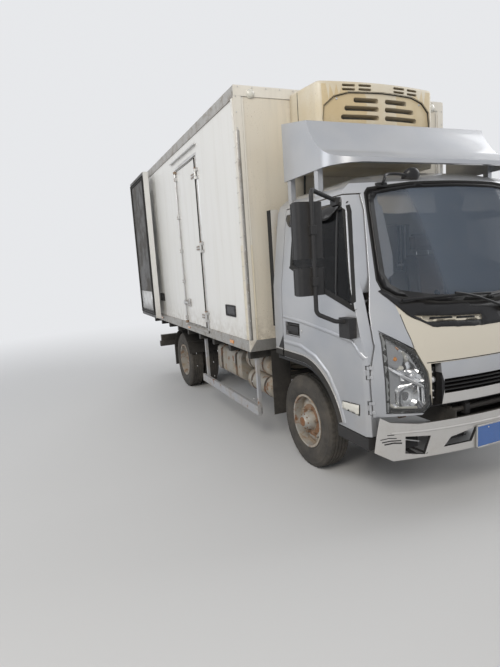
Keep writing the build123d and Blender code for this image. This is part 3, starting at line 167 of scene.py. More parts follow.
class Finish:
    """A material in the making, painted in the truck's own coordinates."""

    def __init__(self, name, edge=0.0, **settings):
        self.material = bpy.data.materials.new(name)
        self.material.use_nodes = True
        self.tree = self.material.node_tree
        self.shader = self.tree.nodes["Principled BSDF"]
        self.place = self.node("ShaderNodeTexCoord").outputs["Object"]
        self.normal = None
        if edge:
            rounding = self.node("ShaderNodeBevel", samples=4)
            rounding.inputs["Radius"].default_value = edge
            self.normal = rounding.outputs[0]
            self.feed("Normal", self.normal)
        for word, value in settings.items():
            self.set(word, value)

    def node(self, kind, **settings):
        node = self.tree.nodes.new(kind)
        for setting, value in settings.items():
            setattr(node, setting, value)
        return node

    def plug(self, socket, value):
        if isinstance(value, bpy.types.NodeSocket):
            self.tree.links.new(value, socket)
        elif isinstance(value, (tuple, list)) and len(socket.default_value) == 4:
            socket.default_value = (*value[:3], 1)
        else:
            socket.default_value = value

    def feed(self, socket, value):
        self.plug(self.shader.inputs[socket], value)

    def set(self, word, value):
        self.feed(SOCKETS[word], value)
        return self

    def stretched(self, stretch):
        mapping = self.node("ShaderNodeMapping")
        self.plug(mapping.inputs["Vector"], self.place)
        mapping.inputs["Scale"].default_value = stretch
        return mapping.outputs[0]

    def noise(self, scale, detail=5.0, rough=0.6, stretch=(1, 1, 1), warp=0.0):
        texture = self.node("ShaderNodeTexNoise")
        self.plug(texture.inputs["Vector"], self.stretched(stretch))
        for word, value in (("Scale", scale), ("Detail", detail), ("Roughness", rough),
                            ("Distortion", warp)):
            texture.inputs[word].default_value = value
        return texture.outputs["Fac"]

    def wave(self, scale, axis="X", warp=0.0):
        texture = self.node("ShaderNodeTexWave", bands_direction=axis)
        self.plug(texture.inputs["Vector"], self.place)
        texture.inputs["Scale"].default_value = scale
        texture.inputs["Distortion"].default_value = warp
        return texture.outputs["Fac"]

    def along(self, axis):
        split = self.node("ShaderNodeSeparateXYZ")
        self.plug(split.inputs[0], self.place)
        return split.outputs[axis]

    def ramp(self, value, low, high, start=0.0, end=1.0):
        """Maps value from low..high to start..end with soft ends, and holds it outside."""
        bend = self.node("ShaderNodeMapRange", interpolation_type="SMOOTHSTEP")
        for socket, number in zip(bend.inputs[:5], (value, low, high, start, end)):
            self.plug(socket, number)
        return bend.outputs[0]

    def patches(self, scale, detail, rough, low, high):
        """A mask of soft-edged patches of noise."""
        return self.ramp(self.noise(scale, detail, rough), low, high)

    def maths(self, operation, first, second=0.5):
        node = self.node("ShaderNodeMath", operation=operation, use_clamp=True)
        self.plug(node.inputs[0], first)
        self.plug(node.inputs[1], second)
        return node.outputs[0]

    def times(self, first, second):
        return self.maths("MULTIPLY", first, second)

    def most(self, first, second):
        return self.maths("MAXIMUM", first, second)

    def mix(self, share, first, second):
        node = self.node("ShaderNodeMix", data_type="RGBA")
        self.plug(node.inputs[0], share)
        self.plug(node.inputs[6], first)
        self.plug(node.inputs[7], second)
        return node.outputs[2]

    def corners(self, distance=0.05):
        """Painted shade from ambient occlusion: how closed in a spot is, from 0 in the open to 1 in a deep
        corner.
        """
        shade = self.node("ShaderNodeAmbientOcclusion", samples=6)
        shade.inputs["Distance"].default_value = distance
        return self.ramp(shade.outputs["AO"], 0.95, 0.45)

    def bump(self, height, depth, strength=1.0):
        bump = self.node("ShaderNodeBump")
        bump.inputs["Distance"].default_value = depth
        bump.inputs["Strength"].default_value = strength
        self.plug(bump.inputs["Height"], height)
        if self.normal is not None:
            self.plug(bump.inputs["Normal"], self.normal)
        self.normal = bump.outputs[0]
        self.feed("Normal", self.normal)
        return self


def shade(colour, share):
    """A colour made darker or lighter."""
    return tuple(value * share for value in colour)


floor_finish = Finish("studio_floor", colour=(0.66, 0.66, 0.66), rough=0.95, shine=0.1)
away = floor_finish.node("ShaderNodeVectorMath", operation="LENGTH")
floor_finish.plug(away.inputs[0], floor_finish.place)
far_off = floor_finish.ramp(away.outputs["Value"], 4.5, 11.0)
backdrop = floor_finish.node("ShaderNodeEmission")
backdrop.inputs[0].default_value = (*BACKDROP, 1)
blend = floor_finish.node("ShaderNodeMixShader")
floor_finish.plug(blend.inputs[0], far_off)
floor_finish.plug(blend.inputs[1], floor_finish.shader.outputs[0])
floor_finish.plug(blend.inputs[2], backdrop.outputs[0])
floor_finish.plug(floor_finish.tree.nodes["Material Output"].inputs[0], blend.outputs[0])
floor.data.materials.append(floor_finish.material)
print("workbench words", sorted(SOCKETS))

# %% [markdown]
# ## Paint, gel coat and metal
# The cab is silver metallic paint: a metallic base with fine flakes, clear coat on top, and a
# film of dust that grows towards the road, with painted shade that darkens the corners. The box
# is white gel coat with faint rain streaks, and its front wall has caught brown dust from the gap behind the
# cab.

# %% Silver cab paint
DUST_AND_SHADE = (0.36, 0.31, 0.25)


def road_dust_and_corner_shade(finish, base, rough, amount=0.5, top=1.3, colour=DUST_AND_SHADE):
    """Dust over a base colour, more near the road and in blotches, with painted shade that darkens the
    corners towards the dust colour.
    """
    low = finish.ramp(finish.along("Z"), top, 0.3)
    blotch = finish.patches(5.5, 8, 0.62, 0.38, 0.72)
    fine = finish.patches(60, 4, 0.7, 0.35, 0.75)
    mask = finish.times(finish.times(finish.most(low, 0.18), finish.most(blotch, 0.35)), amount)
    # Painted shade: ambient occlusion darkens the corners towards the dust colour.
    mask = finish.times(finish.most(mask, finish.times(finish.corners(), 0.55 * amount + 0.1)),
                        finish.most(fine, 0.6))
    finish.set("colour", finish.mix(mask, base, colour))
    finish.set("rough", finish.ramp(mask, 0.0, 0.6, rough, 0.85))


def beside_hood(paint):
    """One beside the hood's two seams and above it, and zero on the hood itself."""
    seam = paint.maths("ADD", paint.times(paint.along("Z"), 0.247), 0.358)
    outside = paint.maths("SUBTRACT", paint.maths("ABSOLUTE", paint.along("Y")), seam)
    return paint.most(paint.ramp(outside, 0.0, 0.006), paint.ramp(paint.along("Z"), 1.42, 1.50))


def silver_paint(name, base=(0.42, 0.435, 0.465), amount=0.35, hood=None):
    paint = Finish(name, edge=0.004, metal=0.6, coat=0.6, coat_rough=0.08)
    flake = paint.patches(900, 2, 0.6, 0.3, 0.7)
    tone = paint.mix(flake, shade(base, 0.93), shade(base, 1.06))
    swirl = paint.patches(3.2, 3, 0.5, 0.3, 0.7)
    tone = paint.mix(paint.times(swirl, 0.25), tone, (0.60, 0.59, 0.57))
    if hood:
        tone = paint.mix(beside_hood(paint), hood, tone)
    road_dust_and_corner_shade(paint, tone, 0.36, amount)
    paint.bump(paint.noise(260, 2, 0.5), 0.0003, 0.35)
    return paint.material


cab_paint = silver_paint("cab_silver")
bumper_paint = silver_paint("bumper_silver", (0.57, 0.562, 0.55), 0.5)
nose_paint = silver_paint("nose_silver", amount=0.3, hood=(0.66, 0.605, 0.50))
print("paints", cab_paint.name, bumper_paint.name)

# %% White gel coat, aluminium and steel
def gel_coat(name, base, speck, streaks, low_dirt=0.5):
    coat = Finish(name, edge=0.004, coat=0.35, coat_rough=0.25)
    run = coat.ramp(coat.noise(9, 6, 0.7, stretch=(1, 1, 0.06)), 0.45, 0.8)
    haze = coat.patches(1.7, 5, 0.55, 0.35, 0.75)
    tone = coat.mix(coat.times(run, streaks), base, (0.52, 0.49, 0.43))
    tone = coat.mix(coat.times(haze, streaks * 0.6), tone, (0.70, 0.68, 0.61))
    spots = coat.patches(95, 3, 0.75, 0.60, 0.70)
    cloud = coat.patches(2.4, 6, 0.6, 0.42, 0.66)
    tone = coat.mix(coat.times(coat.times(spots, cloud), speck), tone, (0.30, 0.22, 0.13))
    low = coat.ramp(coat.along("Z"), 1.35, 0.95)
    # Grime that grows low, and painted shade: ambient occlusion darkens the corners towards the dust colour.
    grime_and_corner_shade = coat.most(coat.times(low, low_dirt), coat.times(coat.corners(0.06), 0.5))
    grime_and_corner_shade = coat.times(grime_and_corner_shade, coat.patches(14, 6, 0.65, 0.3, 0.7))
    coat.set("colour", coat.mix(grime_and_corner_shade, tone, DUST_AND_SHADE))
    coat.set("rough", coat.ramp(grime_and_corner_shade, 0, 0.6, 0.32, 0.8))
    coat.bump(coat.noise(6, 3, 0.5), 0.0012, 0.25)
    return coat


def bare_metal(name, colour=(0.55, 0.55, 0.55), rough=0.42, dirt=0.5, grain=(1, 1, 30)):
    metal = Finish(name, edge=0.002, metal=0.85)
    brushed = metal.noise(40, 4, 0.6, stretch=grain)
    tone = metal.mix(brushed, shade(colour, 0.8), tuple(min(1, v * 1.15) for v in colour))
    stain_and_corner_shade = metal.patches(7, 7, 0.65, 0.45, 0.7)
    # Painted shade: ambient occlusion joins the stains, so the corners darken.
    stain_and_corner_shade = metal.times(metal.most(stain_and_corner_shade, metal.corners(0.03)), dirt)
    metal.set("colour", metal.mix(stain_and_corner_shade, tone, (0.20, 0.16, 0.12)))
    metal.set("rough", metal.ramp(stain_and_corner_shade, 0, 0.8, rough, 0.85))
    metal.set("metal", metal.ramp(stain_and_corner_shade, 0, 0.8, 0.85, 0.25))
    metal.bump(brushed, 0.0004, 0.3)
    return metal.material


box_white = gel_coat("box_white", (0.76, 0.755, 0.73), 0.16, 0.30).material


def scratched_lining():
    """A dark wall sheet with slanting scratches and smears, as on the rear doors' inner side."""
    sheet = Finish("door_lining", edge=0.003, metal=0.3)
    smear = sheet.patches(3, 6, 0.65, 0.4, 0.7)
    turn = sheet.node("ShaderNodeMapping")
    sheet.plug(turn.inputs["Vector"], sheet.place)
    turn.inputs["Rotation"].default_value = (0, math.radians(52), 0)
    sheet.place = turn.outputs[0]
    scratch = sheet.noise(3.5, 6, 0.5, stretch=(1, 1, 22))
    line = sheet.ramp(scratch, 0.62, 0.68)
    tone = sheet.mix(smear, (0.020, 0.019, 0.018), (0.075, 0.068, 0.058))
    sheet.set("colour", sheet.mix(sheet.times(line, 0.4), tone, (0.40, 0.38, 0.34)))
    sheet.set("rough", sheet.ramp(smear, 0, 1, 0.4, 0.75))
    return sheet.bump(scratch, 0.0006, 0.3).material


door_lining = scratched_lining()
box_front = gel_coat("box_front_dusty", (0.72, 0.66, 0.55), 1.0, 0.6, 0.9).material
rail_grey = bare_metal("edge_rail", (0.42, 0.41, 0.39), 0.5, 0.65, (30, 1, 1))
post_white = gel_coat("corner_post_white", (0.78, 0.74, 0.66), 0.3, 0.4, 0.6).material
aluminium = bare_metal("worn_aluminium", (0.60, 0.60, 0.60), 0.38, 0.4)
stainless = bare_metal("stainless", (0.62, 0.62, 0.61), 0.3, 0.3)
floor_alloy = bare_metal("floor_alloy", (0.52, 0.52, 0.52), 0.45, 0.6, (1, 30, 1))
print("metals", rail_grey.name, aluminium.name, stainless.name)

# %% Fridge housing, plastics and rubber
def aged_plastic(name, base, warm, speck, rough=0.45, top=1.0):
    shell = Finish(name, edge=0.006, coat=0.15, coat_rough=0.3)
    haze = shell.patches(3.0, 6, 0.6, 0.35, 0.7)
    tone = shell.mix(shell.times(haze, 0.7), base, warm)
    dots = shell.patches(120, 3, 0.8, 0.58, 0.68)
    cloud = shell.patches(4.0, 5, 0.6, 0.4, 0.62)
    tone = shell.mix(shell.times(shell.times(dots, cloud), speck), tone, (0.26, 0.18, 0.09))
    # Painted shade: ambient occlusion darkens the corners brown.
    corner_shade_mask = shell.times(shell.corners(0.06), 0.55)
    shell.set("colour", shell.mix(corner_shade_mask, tone, (0.30, 0.24, 0.15)))
    shell.set("rough", shell.ramp(haze, 0, 1, rough, rough + 0.25))
    shell.bump(shell.noise(180, 3, 0.5), 0.0004, 0.3)
    return shell.material


def dull_black(name, base=(0.016, 0.016, 0.017), rough=0.5, dust=0.16, grain=320, top=1.2):
    black = Finish(name, edge=0.003, shine=0.3)
    tone = black.mix(black.noise(30, 4, 0.6), base, shade(base, 1.9))
    road_dust_and_corner_shade(black, tone, rough, dust, top, (0.20, 0.175, 0.145))
    black.bump(black.noise(grain, 3, 0.6), 0.0006, 0.4)
    return black.material


fridge_shell = aged_plastic("fridge_shell", (0.70, 0.64, 0.52), (0.62, 0.52, 0.35), 0.8)
fridge_panel = aged_plastic("fridge_panel", (0.66, 0.55, 0.36), (0.56, 0.43, 0.24), 1.0, 0.55)
black_plastic = dull_black("black_plastic")
trim_black = dull_black("trim_black", (0.009, 0.009, 0.010), 0.3, 0.07)
seal_rubber = dull_black("seal_rubber", (0.012, 0.012, 0.012), 0.7, 0.12, 200)
flap_rubber = dull_black("flap_rubber", (0.020, 0.019, 0.018), 0.75, 0.4, 120)
chassis_black = dull_black("chassis_black", (0.022, 0.021, 0.020), 0.6, 0.75, 90)
dash_plastic = dull_black("dash_plastic", (0.05, 0.05, 0.055), 0.6, 0.1, 420, 0.5)
print("plastics ready")

# %% Tyre rubber, wheel steel, rust and tanks
def rusty(name, paint, rust_share, metal=0.3, rough=0.6, dust=0.6):
    steel = Finish(name, edge=0.003)
    patch = steel.ramp(steel.noise(11, 8, 0.68), 0.62 - 0.35 * rust_share, 0.72 - 0.2 * rust_share)
    rust = steel.mix(steel.noise(45, 5, 0.7), (0.11, 0.045, 0.02), (0.30, 0.13, 0.05))
    tone = steel.mix(patch, paint, rust)
    mud_and_corner_shade = steel.ramp(steel.noise(6, 7, 0.6, warp=0.6), 0.4, 0.7)
    # Mud in blotches, and painted shade: ambient occlusion darkens the corners to the mud colour.
    mud_and_corner_shade = steel.times(steel.most(mud_and_corner_shade, steel.corners(0.04)), dust)
    steel.set("colour", steel.mix(mud_and_corner_shade, tone, (0.33, 0.27, 0.20)))
    steel.set("metal", steel.ramp(steel.most(patch, mud_and_corner_shade), 0, 0.5, metal, 0.0))
    steel.set("rough", steel.ramp(steel.most(patch, mud_and_corner_shade), 0, 0.5, rough, 0.9))
    steel.bump(steel.noise(70, 6, 0.7), 0.0015, 0.5)
    return steel.material


def tyre_rubber():
    rubber = Finish("tyre_rubber", edge=0.002)
    tone = rubber.mix(rubber.noise(25, 5, 0.65), (0.020, 0.020, 0.020), (0.045, 0.043, 0.040))
    dust = rubber.patches(5, 7, 0.7, 0.25, 0.75)
    tone = rubber.mix(rubber.times(dust, 0.4), tone, (0.17, 0.145, 0.115))
    rubber.set("colour", tone).set("rough", 0.86)
    return rubber.bump(rubber.noise(150, 5, 0.7), 0.001, 0.5).material


tyre_finish = tyre_rubber()
wheel_steel = rusty("wheel_steel", (0.42, 0.41, 0.38), 0.35, 0.4, 0.5, 0.85)
hub_rust = rusty("hub_rust", (0.20, 0.13, 0.09), 0.8, 0.2, 0.8, 0.5)
tank_steel = rusty("tank_steel", (0.36, 0.34, 0.30), 0.25, 0.4, 0.55, 0.8)
spring_steel = rusty("spring_steel", (0.05, 0.045, 0.04), 0.45, 0.3, 0.7, 0.6)
iron = rusty("engine_iron", (0.14, 0.13, 0.12), 0.3, 0.3, 0.6, 0.5)
pipe_steel = rusty("pipe_steel", (0.30, 0.25, 0.20), 0.55, 0.5, 0.6, 0.4)
guard_paint = rusty("guard_paint", (0.40, 0.41, 0.43), 0.12, 0.3, 0.45, 0.55)
print("steels ready")

# %% [markdown]
# ## Glass and lamps
# Window glass shows what is behind it and mirrors the sky more at a flat angle. A Principled
# shader whose alpha follows Fresnel does both: nearly clear when seen straight on, and nearly
# a mirror at the edge. Lamps use the same idea with their own tints.

# %% Glass finishes
def clear_glass(name, tint, low=0.22, high=0.95, rough=0.02, dust=0.15, shine=0.45):
    """Glass whose alpha runs from low when seen straight on to high when seen flat."""
    glass = Finish(name, rough=rough, shine=shine)
    fresnel = glass.node("ShaderNodeFresnel")
    fresnel.inputs["IOR"].default_value = 1.5
    haze = glass.times(glass.patches(7, 6, 0.65, 0.45, 0.8), dust)
    glass.set("colour", glass.mix(haze, tint, (0.55, 0.52, 0.46)))
    glass.set("alpha", glass.most(glass.ramp(fresnel.outputs[0], 0.04, 0.6, low, high), haze))
    return glass.material


window_glass = clear_glass("window_glass", (0.17, 0.21, 0.27), 0.19, 0.8, dust=0.06)
side_glass = clear_glass("side_glass", (0.006, 0.007, 0.009), 0.5, 0.85, dust=0.04, shine=0.2)
lens_clear = clear_glass("lens_clear", (0.80, 0.82, 0.84), 0.12, 0.8, 0.04, 0.1)
silvering = Finish("mirror_face", colour=(0.75, 0.77, 0.78), metal=1.0)
silvering.set("rough", silvering.ramp(silvering.noise(30, 5), 0.4, 0.8, 0.02, 0.2))
mirror_face = silvering.material
bright = Finish("lamp_chrome", metal=1.0)
bright.set("colour", bright.mix(bright.noise(25, 3), (0.70, 0.71, 0.73), (0.88, 0.88, 0.88)))
bright.set("rough", bright.ramp(bright.noise(60, 3), 0.3, 0.8, 0.08, 0.25))
chrome = bright.material


def lamp_plastic(name, colour):
    lens = Finish(name, coat=1.0, coat_rough=0.05, rough=0.2)
    lens.set("colour", lens.mix(lens.noise(40, 3), shade(colour, 0.8), colour))
    lens.bump(lens.wave(55, "Y"), 0.002, 0.35)
    return lens.material


amber_lens, red_lens, clear_lens, plate_blue, plate_yellow = (lamp_plastic(*words) for words in (
    ("amber_lens", (0.80, 0.30, 0.04)), ("red_lens", (0.50, 0.02, 0.02)), ("clear_lens", (0.78, 0.76, 0.68)),
    ("plate_blue", (0.02, 0.12, 0.42)), ("plate_yellow", (0.70, 0.48, 0.03))))
print("glass and lamp finishes ready")

# %% [markdown]
# ## Finishes on the truck's own panels
# Every panel keeps its shape and gets its finish. Where one pressed panel carries two finishes,
# such as a white wall with grey edge rails, the faces are sorted by where they lie and which
# way they look, and each group takes its own material slot.

# %% Dress the panels
def smooth(item, angle=32):
    """Joins the split corners of an imported mesh and shades it smooth between its edges."""
    with bpy.context.temp_override(object=item, active_object=item):
        bpy.ops.mesh.customdata_custom_splitnormals_clear()
    item.data.polygons.foreach_set("use_smooth", [True] * len(item.data.polygons))
    weld = item.modifiers.new("weld", "WELD")
    weld.merge_threshold = 0.00005
    split = item.modifiers.new("hard_edges", "EDGE_SPLIT")
    split.split_angle = math.radians(angle)


def dress(name, finish, *zones):
    """One finish for a panel, and for each zone another where its test holds."""
    item = nodes[name]
    item.data.materials.clear()
    item.data.materials.append(finish)
    for test, zone_finish in zones:
        item.data.materials.append(zone_finish)
    for face in item.data.polygons:
        face.material_index = 0
        for index, (test, zone_finish) in enumerate(zones):
            if test(face.center, face.normal):
                face.material_index = index + 1
    smooth(item)


skin_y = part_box("box_wall_left")[1].y - 0.008
front_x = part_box("box_front_wall")[1].x
back_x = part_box("box_wall_right")[0].x
fridge_low, fridge_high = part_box("fridge_unit")
foot_rail, head_rail = 1.05, 3.08


def on_rail(c, n):
    """The grey rails that stand proud along the foot and the head of a side wall."""
    return abs(c.y) > skin_y + 0.001 and (c.z < foot_rail or c.z > head_rail)


dress("box_wall_left", box_white, (on_rail, rail_grey))
dress("box_wall_right", box_white, (on_rail, rail_grey),
      (lambda c, n: c.y < -skin_y - 0.0005 and foot_rail < c.z < 3.05, stainless))
dress("box_front_wall", box_front,
      (lambda c, n: c.x > front_x - 0.0005 and c.z < 1.046, rail_grey),
      (lambda c, n: c.x > front_x - 0.009 and c.z > 1.046 and abs(c.y) > 1.06, post_white))
dress("box_roof", box_white, (lambda c, n: abs(n.y) > 0.6, rail_grey),
      (lambda c, n: n.x > 0.6, post_white))
dress("box_floor", floor_alloy, (lambda c, n: c.z < 0.95, chassis_black))
dress("side_door", box_white, (lambda c, n: c.y < -skin_y - 0.0045, stainless))
for name, side in SIDES:
    dress(f"rear_door_{name}", box_white,
          (lambda c, n, s=side: n.y * s > 0.5 and c.x > -2.93, door_lining))
dress("fridge_unit", fridge_shell,
      (lambda c, n: c.x < fridge_high.x - 0.02 and abs(c.y) < 0.55 and 2.55 < c.z < 3.05 and n.x > 0.3,
       fridge_panel))
print("box dressed, skin at", round(skin_y, 3))

# %% Cab and chassis finishes
roof_cloth = aged_plastic("roof_cloth", (0.56, 0.54, 0.50), (0.48, 0.45, 0.41), 0.15, 0.85)
dash_top = aged_plastic("dash_top_dusty", (0.30, 0.32, 0.34), (0.24, 0.24, 0.24), 0.2, 0.7)


def bumper_back_and_opening_shade(c, n):
    """The bumper's back, and the walls of its lamp and intake openings, which are painted black as shade."""
    return n.x < -0.3 or (abs(n.x) < 0.6 and 0.43 < c.z < 0.57 and 0.2 < abs(c.y) < 0.745)


def bumper_bracket(c, n):
    """The brackets behind the bumper and its upper lip between the lamps."""
    near_middle = abs(c.y) < 0.6 and (c.x < axle_x + 1.0 or c.z > 0.63)
    return near_middle or (abs(n.y) > 0.9 and abs(c.y) < 0.5)


# Painted shade: the nose below the grille is black trim, standing for the shade under the grille's lower bar.
dress("cab_front", nose_paint, (lambda c, n: c.z < 0.80 and abs(c.y) < 0.60, trim_black))
dress("cab_body", cab_paint,
      (lambda c, n: c.z < 1.35 and abs(c.y) < 0.97 and c.x > 1.63, black_plastic),
      (lambda c, n: c.x < 1.53, seal_rubber),
      (lambda c, n: c.z < 0.6 or (c.z < 1.0 and not (abs(n.y) > 0.8 and abs(c.y) > 0.9)), black_plastic),
      (lambda c, n: (n.z < -0.4 and c.z > 1.9) or (n.x > 0.5 and c.x < axle_x - 0.15 and c.z > 1.0),
       roof_cloth))
dress("grille", trim_black, (lambda c, n: c.z > 0.906, cab_paint), (lambda c, n: c.z < 0.808, bumper_paint))
dress("front_bumper", bumper_paint, (bumper_back_and_opening_shade, black_plastic), (bumper_bracket, chassis_black))
dress("dashboard", dash_plastic, (lambda c, n: n.z > 0.6 and c.x > axle_x + 0.70, dash_top))
one_finish = {
    stainless: ["rear_frame"], fridge_shell: ["evaporator"], window_glass: ["cab_glass"],
    cab_paint: ["roof_deflector"], lens_clear: ["headlamps"], dash_plastic: ["seats"],
    chassis_black: ["chassis_frame", "rear_bar"], iron: ["engine"], pipe_steel: ["exhaust"],
    tank_steel: ["side_tanks"], guard_paint: ["side_guards"], flap_rubber: ["mudguards"],
    black_plastic: ["battery_box", "mirror_left", "mirror_right"],
    spring_steel: ["front_axle", "rear_axle", "knuckle_left", "knuckle_right"],
    side_glass: ["door_glass_left", "door_glass_right"],
    wheel_steel: ["rim_front_left", "rim_front_right", "rims_rear_left", "rims_rear_right"],
    tyre_finish: ["tyre_front_left", "tyre_front_right", "tyres_rear_left", "tyres_rear_right"]}
for finish, names in one_finish.items():
    for name in names:
        dress(name, finish)
for name, side in SIDES:
    dress(f"cab_door_{name}", cab_paint,
          (lambda c, n, s=side: n.y * s < -0.3 and abs(c.y) < 0.93, dash_plastic))
print("dressed", sum(1 for item in nodes.values() if item.data.materials), "nodes")

# %% [markdown]
# ## Tools for small pieces
# Most trim on a truck is one of seven shapes: a sheet laid on a panel, a strip along a line, a
# free sheet, a round tube, a turned piece, a small moulded block or a bolt head. Each has one
# tool below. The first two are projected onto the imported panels, so a seal or a lamp follows
# the real curve under it.

# %% Tools that lay pieces on the panels
def make(name, body, finish, points, faces, angle=40):
    """A mesh piece that rides on a body, smooth but for edges sharper than the angle."""
    mesh = bpy.data.meshes.new(name)
    mesh.from_pydata([tuple(point) for point in points], [], faces)
    mesh.validate()
    mesh.materials.append(finish)
    mesh.polygons.foreach_set("use_smooth", [True] * len(mesh.polygons))
    mesh.set_sharp_from_angle(angle=math.radians(angle))
    item = bpy.data.objects.new(name, mesh)
    bpy.context.scene.collection.objects.link(item)
    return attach(item, body)


def search_tree(*names):
    """One search tree over the faces of the named panels."""
    points, faces = [], []
    for name in names:
        start = len(points)
        points += [vertex.co.copy() for vertex in nodes[name].data.vertices]
        faces += [[start + index for index in face.vertices] for face in nodes[name].data.polygons]
    return BVHTree.FromPolygons(points, faces)


def landing(tree, out, across, height, lift):
    """Where a ray against out meets the panels: out is +X, or Y to one side."""
    out = Vector(out)
    if out.x:
        start = Vector((4, across, height))
    else:
        start = Vector((across, 4 * out.y, height))
    place = tree.ray_cast(start, -out)[0]
    if place is None:
        place = tree.find_nearest(start - out * 3.1)[0]
        place = Vector((place.x, across, height)) if out.x else Vector((across, place.y, height))
    return place + out * lift


def dense(loop, step, closed=True):
    """A line of points with extra points, so that no gap is longer than step."""
    result = []
    pairs = zip(loop, loop[1:] + loop[:1]) if closed else zip(loop, loop[1:])
    for first, second in pairs:
        first, second = Vector(first), Vector(second)
        count = max(1, math.ceil((second - first).length / step))
        result += [first.lerp(second, index / count) for index in range(count)]
    return result if closed else result + [Vector(loop[-1])]


def inside(point, loop):
    """Whether a point lies inside a closed outline."""
    crossed = False
    for first, second in zip(loop, loop[1:] + loop[:1]):
        if (first[1] > point[1]) != (second[1] > point[1]):
            share = (point[1] - first[1]) / (second[1] - first[1])
            if point[0] < first[0] + (second[0] - first[0]) * share:
                crossed = not crossed
    return crossed


def edge_distance(point, loop):
    """How far a point lies from the nearest edge of an outline."""
    least = 1e9
    for first, second in zip(loop, loop[1:] + loop[:1]):
        first, second = Vector(first), Vector(second)
        along = second - first
        share = max(0, min(1, (point - first).dot(along) / max(along.length_squared, 1e-12)))
        least = min(least, (point - first - along * share).length)
    return least


def laid(name, body, finish, tree, out, outline, thick=0.003, lift=0.0005, holes=(), step=0.03,
         sink=None, angle=40):
    """A sheet cut to an outline and laid on the panels. Sink may press it in, by edge distance."""
    out = Vector(out)
    loops = [dense([Vector(point) for point in loop], step) for loop in (outline, *holes)]
    grid, edges = [], []
    for loop in loops:
        start = len(grid)
        grid += loop
        edges += [(start + i, start + (i + 1) % len(loop)) for i in range(len(loop))]
    low = [min(point[axis] for point in loops[0]) for axis in (0, 1)]
    high = [max(point[axis] for point in loops[0]) for axis in (0, 1)]
    for i in range(1, int((high[0] - low[0]) / step) + 1):
        for j in range(1, int((high[1] - low[1]) / step) + 1):
            point = Vector((low[0] + (i + 0.5 * (j % 2)) * step, low[1] + j * step))
            if inside(point, loops[0]) and not any(inside(point, hole) for hole in loops[1:]) \
                    and min(edge_distance(point, loop) for loop in loops) > step * 0.4:
                grid.append(point)
    points, _, faces = delaunay_2d_cdt(grid, edges, [], 0, 1e-6)[:3]
    kept = []
    for face in faces:
        middle = sum((points[index] for index in face), Vector((0, 0))) / 3
        if inside(middle, loops[0]) and not any(inside(middle, hole) for hole in loops[1:]):
            kept.append(list(face))
    spots = []
    for point in points:
        press = sink(min(edge_distance(point, loop) for loop in loops)) if sink else 0
        spots.append(landing(tree, out, point[0], point[1], lift - press))
    item = make(name, body, finish, spots, kept, angle)
    for face in item.data.polygons:
        if face.normal.dot(out) < 0:
            face.flip()
    if thick:
        solid = item.modifiers.new("thickness", "SOLIDIFY")
        solid.thickness = thick
        solid.offset = 1
    return item


def strip(name, body, finish, tree, out, line, width, thick=0.004, lift=0.0, closed=False,
          step=0.04):
    """A flat strip along a line, laid on the panels and rounded over at its top."""
    out = Vector(out)
    path = dense([Vector(point) for point in line], step, closed)
    count = len(path)
    points, faces = [], []
    for index, point in enumerate(path):
        before = path[index - 1] if closed or index else point
        after = path[(index + 1) % count] if closed or index < count - 1 else point
        along = (after - before).normalized()
        across = Vector((-along.y, along.x))
        if out.x + out.y < 0:
            across = -across
        for share, rise in ((-0.5, 0), (-0.32, 1), (0.32, 1), (0.5, 0)):
            spot = point + across * width * share
            points.append(landing(tree, out, spot.x, spot.y, lift + rise * thick))
    for index in range(count if closed else count - 1):
        here, there = index * 4, (index + 1) % count * 4
        faces += [(here + k, there + k, there + k + 1, here + k + 1) for k in range(3)]
    return make(name, body, finish, points, faces, 60)


# %% Tools for tubes, turned pieces, blocks and bolts
def tubes(name, body, finish, lines, radius, rounded=True):
    """Round tubes along lines of points, rounded through them or straight between them."""
    curve = bpy.data.curves.new(name, "CURVE")
    curve.dimensions = "3D"
    curve.bevel_depth = radius
    curve.bevel_resolution = 3
    curve.use_fill_caps = True
    for line in lines:
        spline = curve.splines.new("NURBS" if rounded else "POLY")
        spline.points.add(len(line) - 1)
        for point, spot in zip(spline.points, line):
            point.co = (*spot, 1)
        if rounded:
            spline.order_u = 3
            spline.use_endpoint_u = True
            spline.resolution_u = 6
    curve.materials.append(finish)
    item = bpy.data.objects.new(name, curve)
    bpy.context.scene.collection.objects.link(item)
    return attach(item, body)


def basis(axis):
    """An axis of length one, and two directions square to it."""
    axis = Vector(axis).normalized()
    first = axis.cross(Vector((0, 0, 1)) if abs(axis.z) < 0.9 else Vector((1, 0, 0))).normalized()
    return axis, first, axis.cross(first)


def turned(name, body, finish, profile, places, axis, steps=48, notch=None):
    """Turned pieces from (radius, along) points in millimetres.

    Notch may shrink a radius by step and point.
    """
    axis, first, second = basis(axis)
    profile = [(radius / 1000, along / 1000) for radius, along in profile]
    points, faces = [], []
    for place in places:
        start = len(points)
        for step in range(steps):
            turn = 2 * math.pi * step / steps
            outward = first * math.cos(turn) + second * math.sin(turn)
            for radius, along in profile:
                cut = notch(step, radius, along) if notch else 0
                points.append(Vector(place) + outward * (radius - cut) + axis * along)
        rows = len(profile)
        for step in range(steps):
            here, there = start + step * rows, start + (step + 1) % steps * rows
            faces += [(here + k, there + k, there + k + 1, here + k + 1) for k in range(rows - 1)]
    return make(name, body, finish, points, faces, 35)


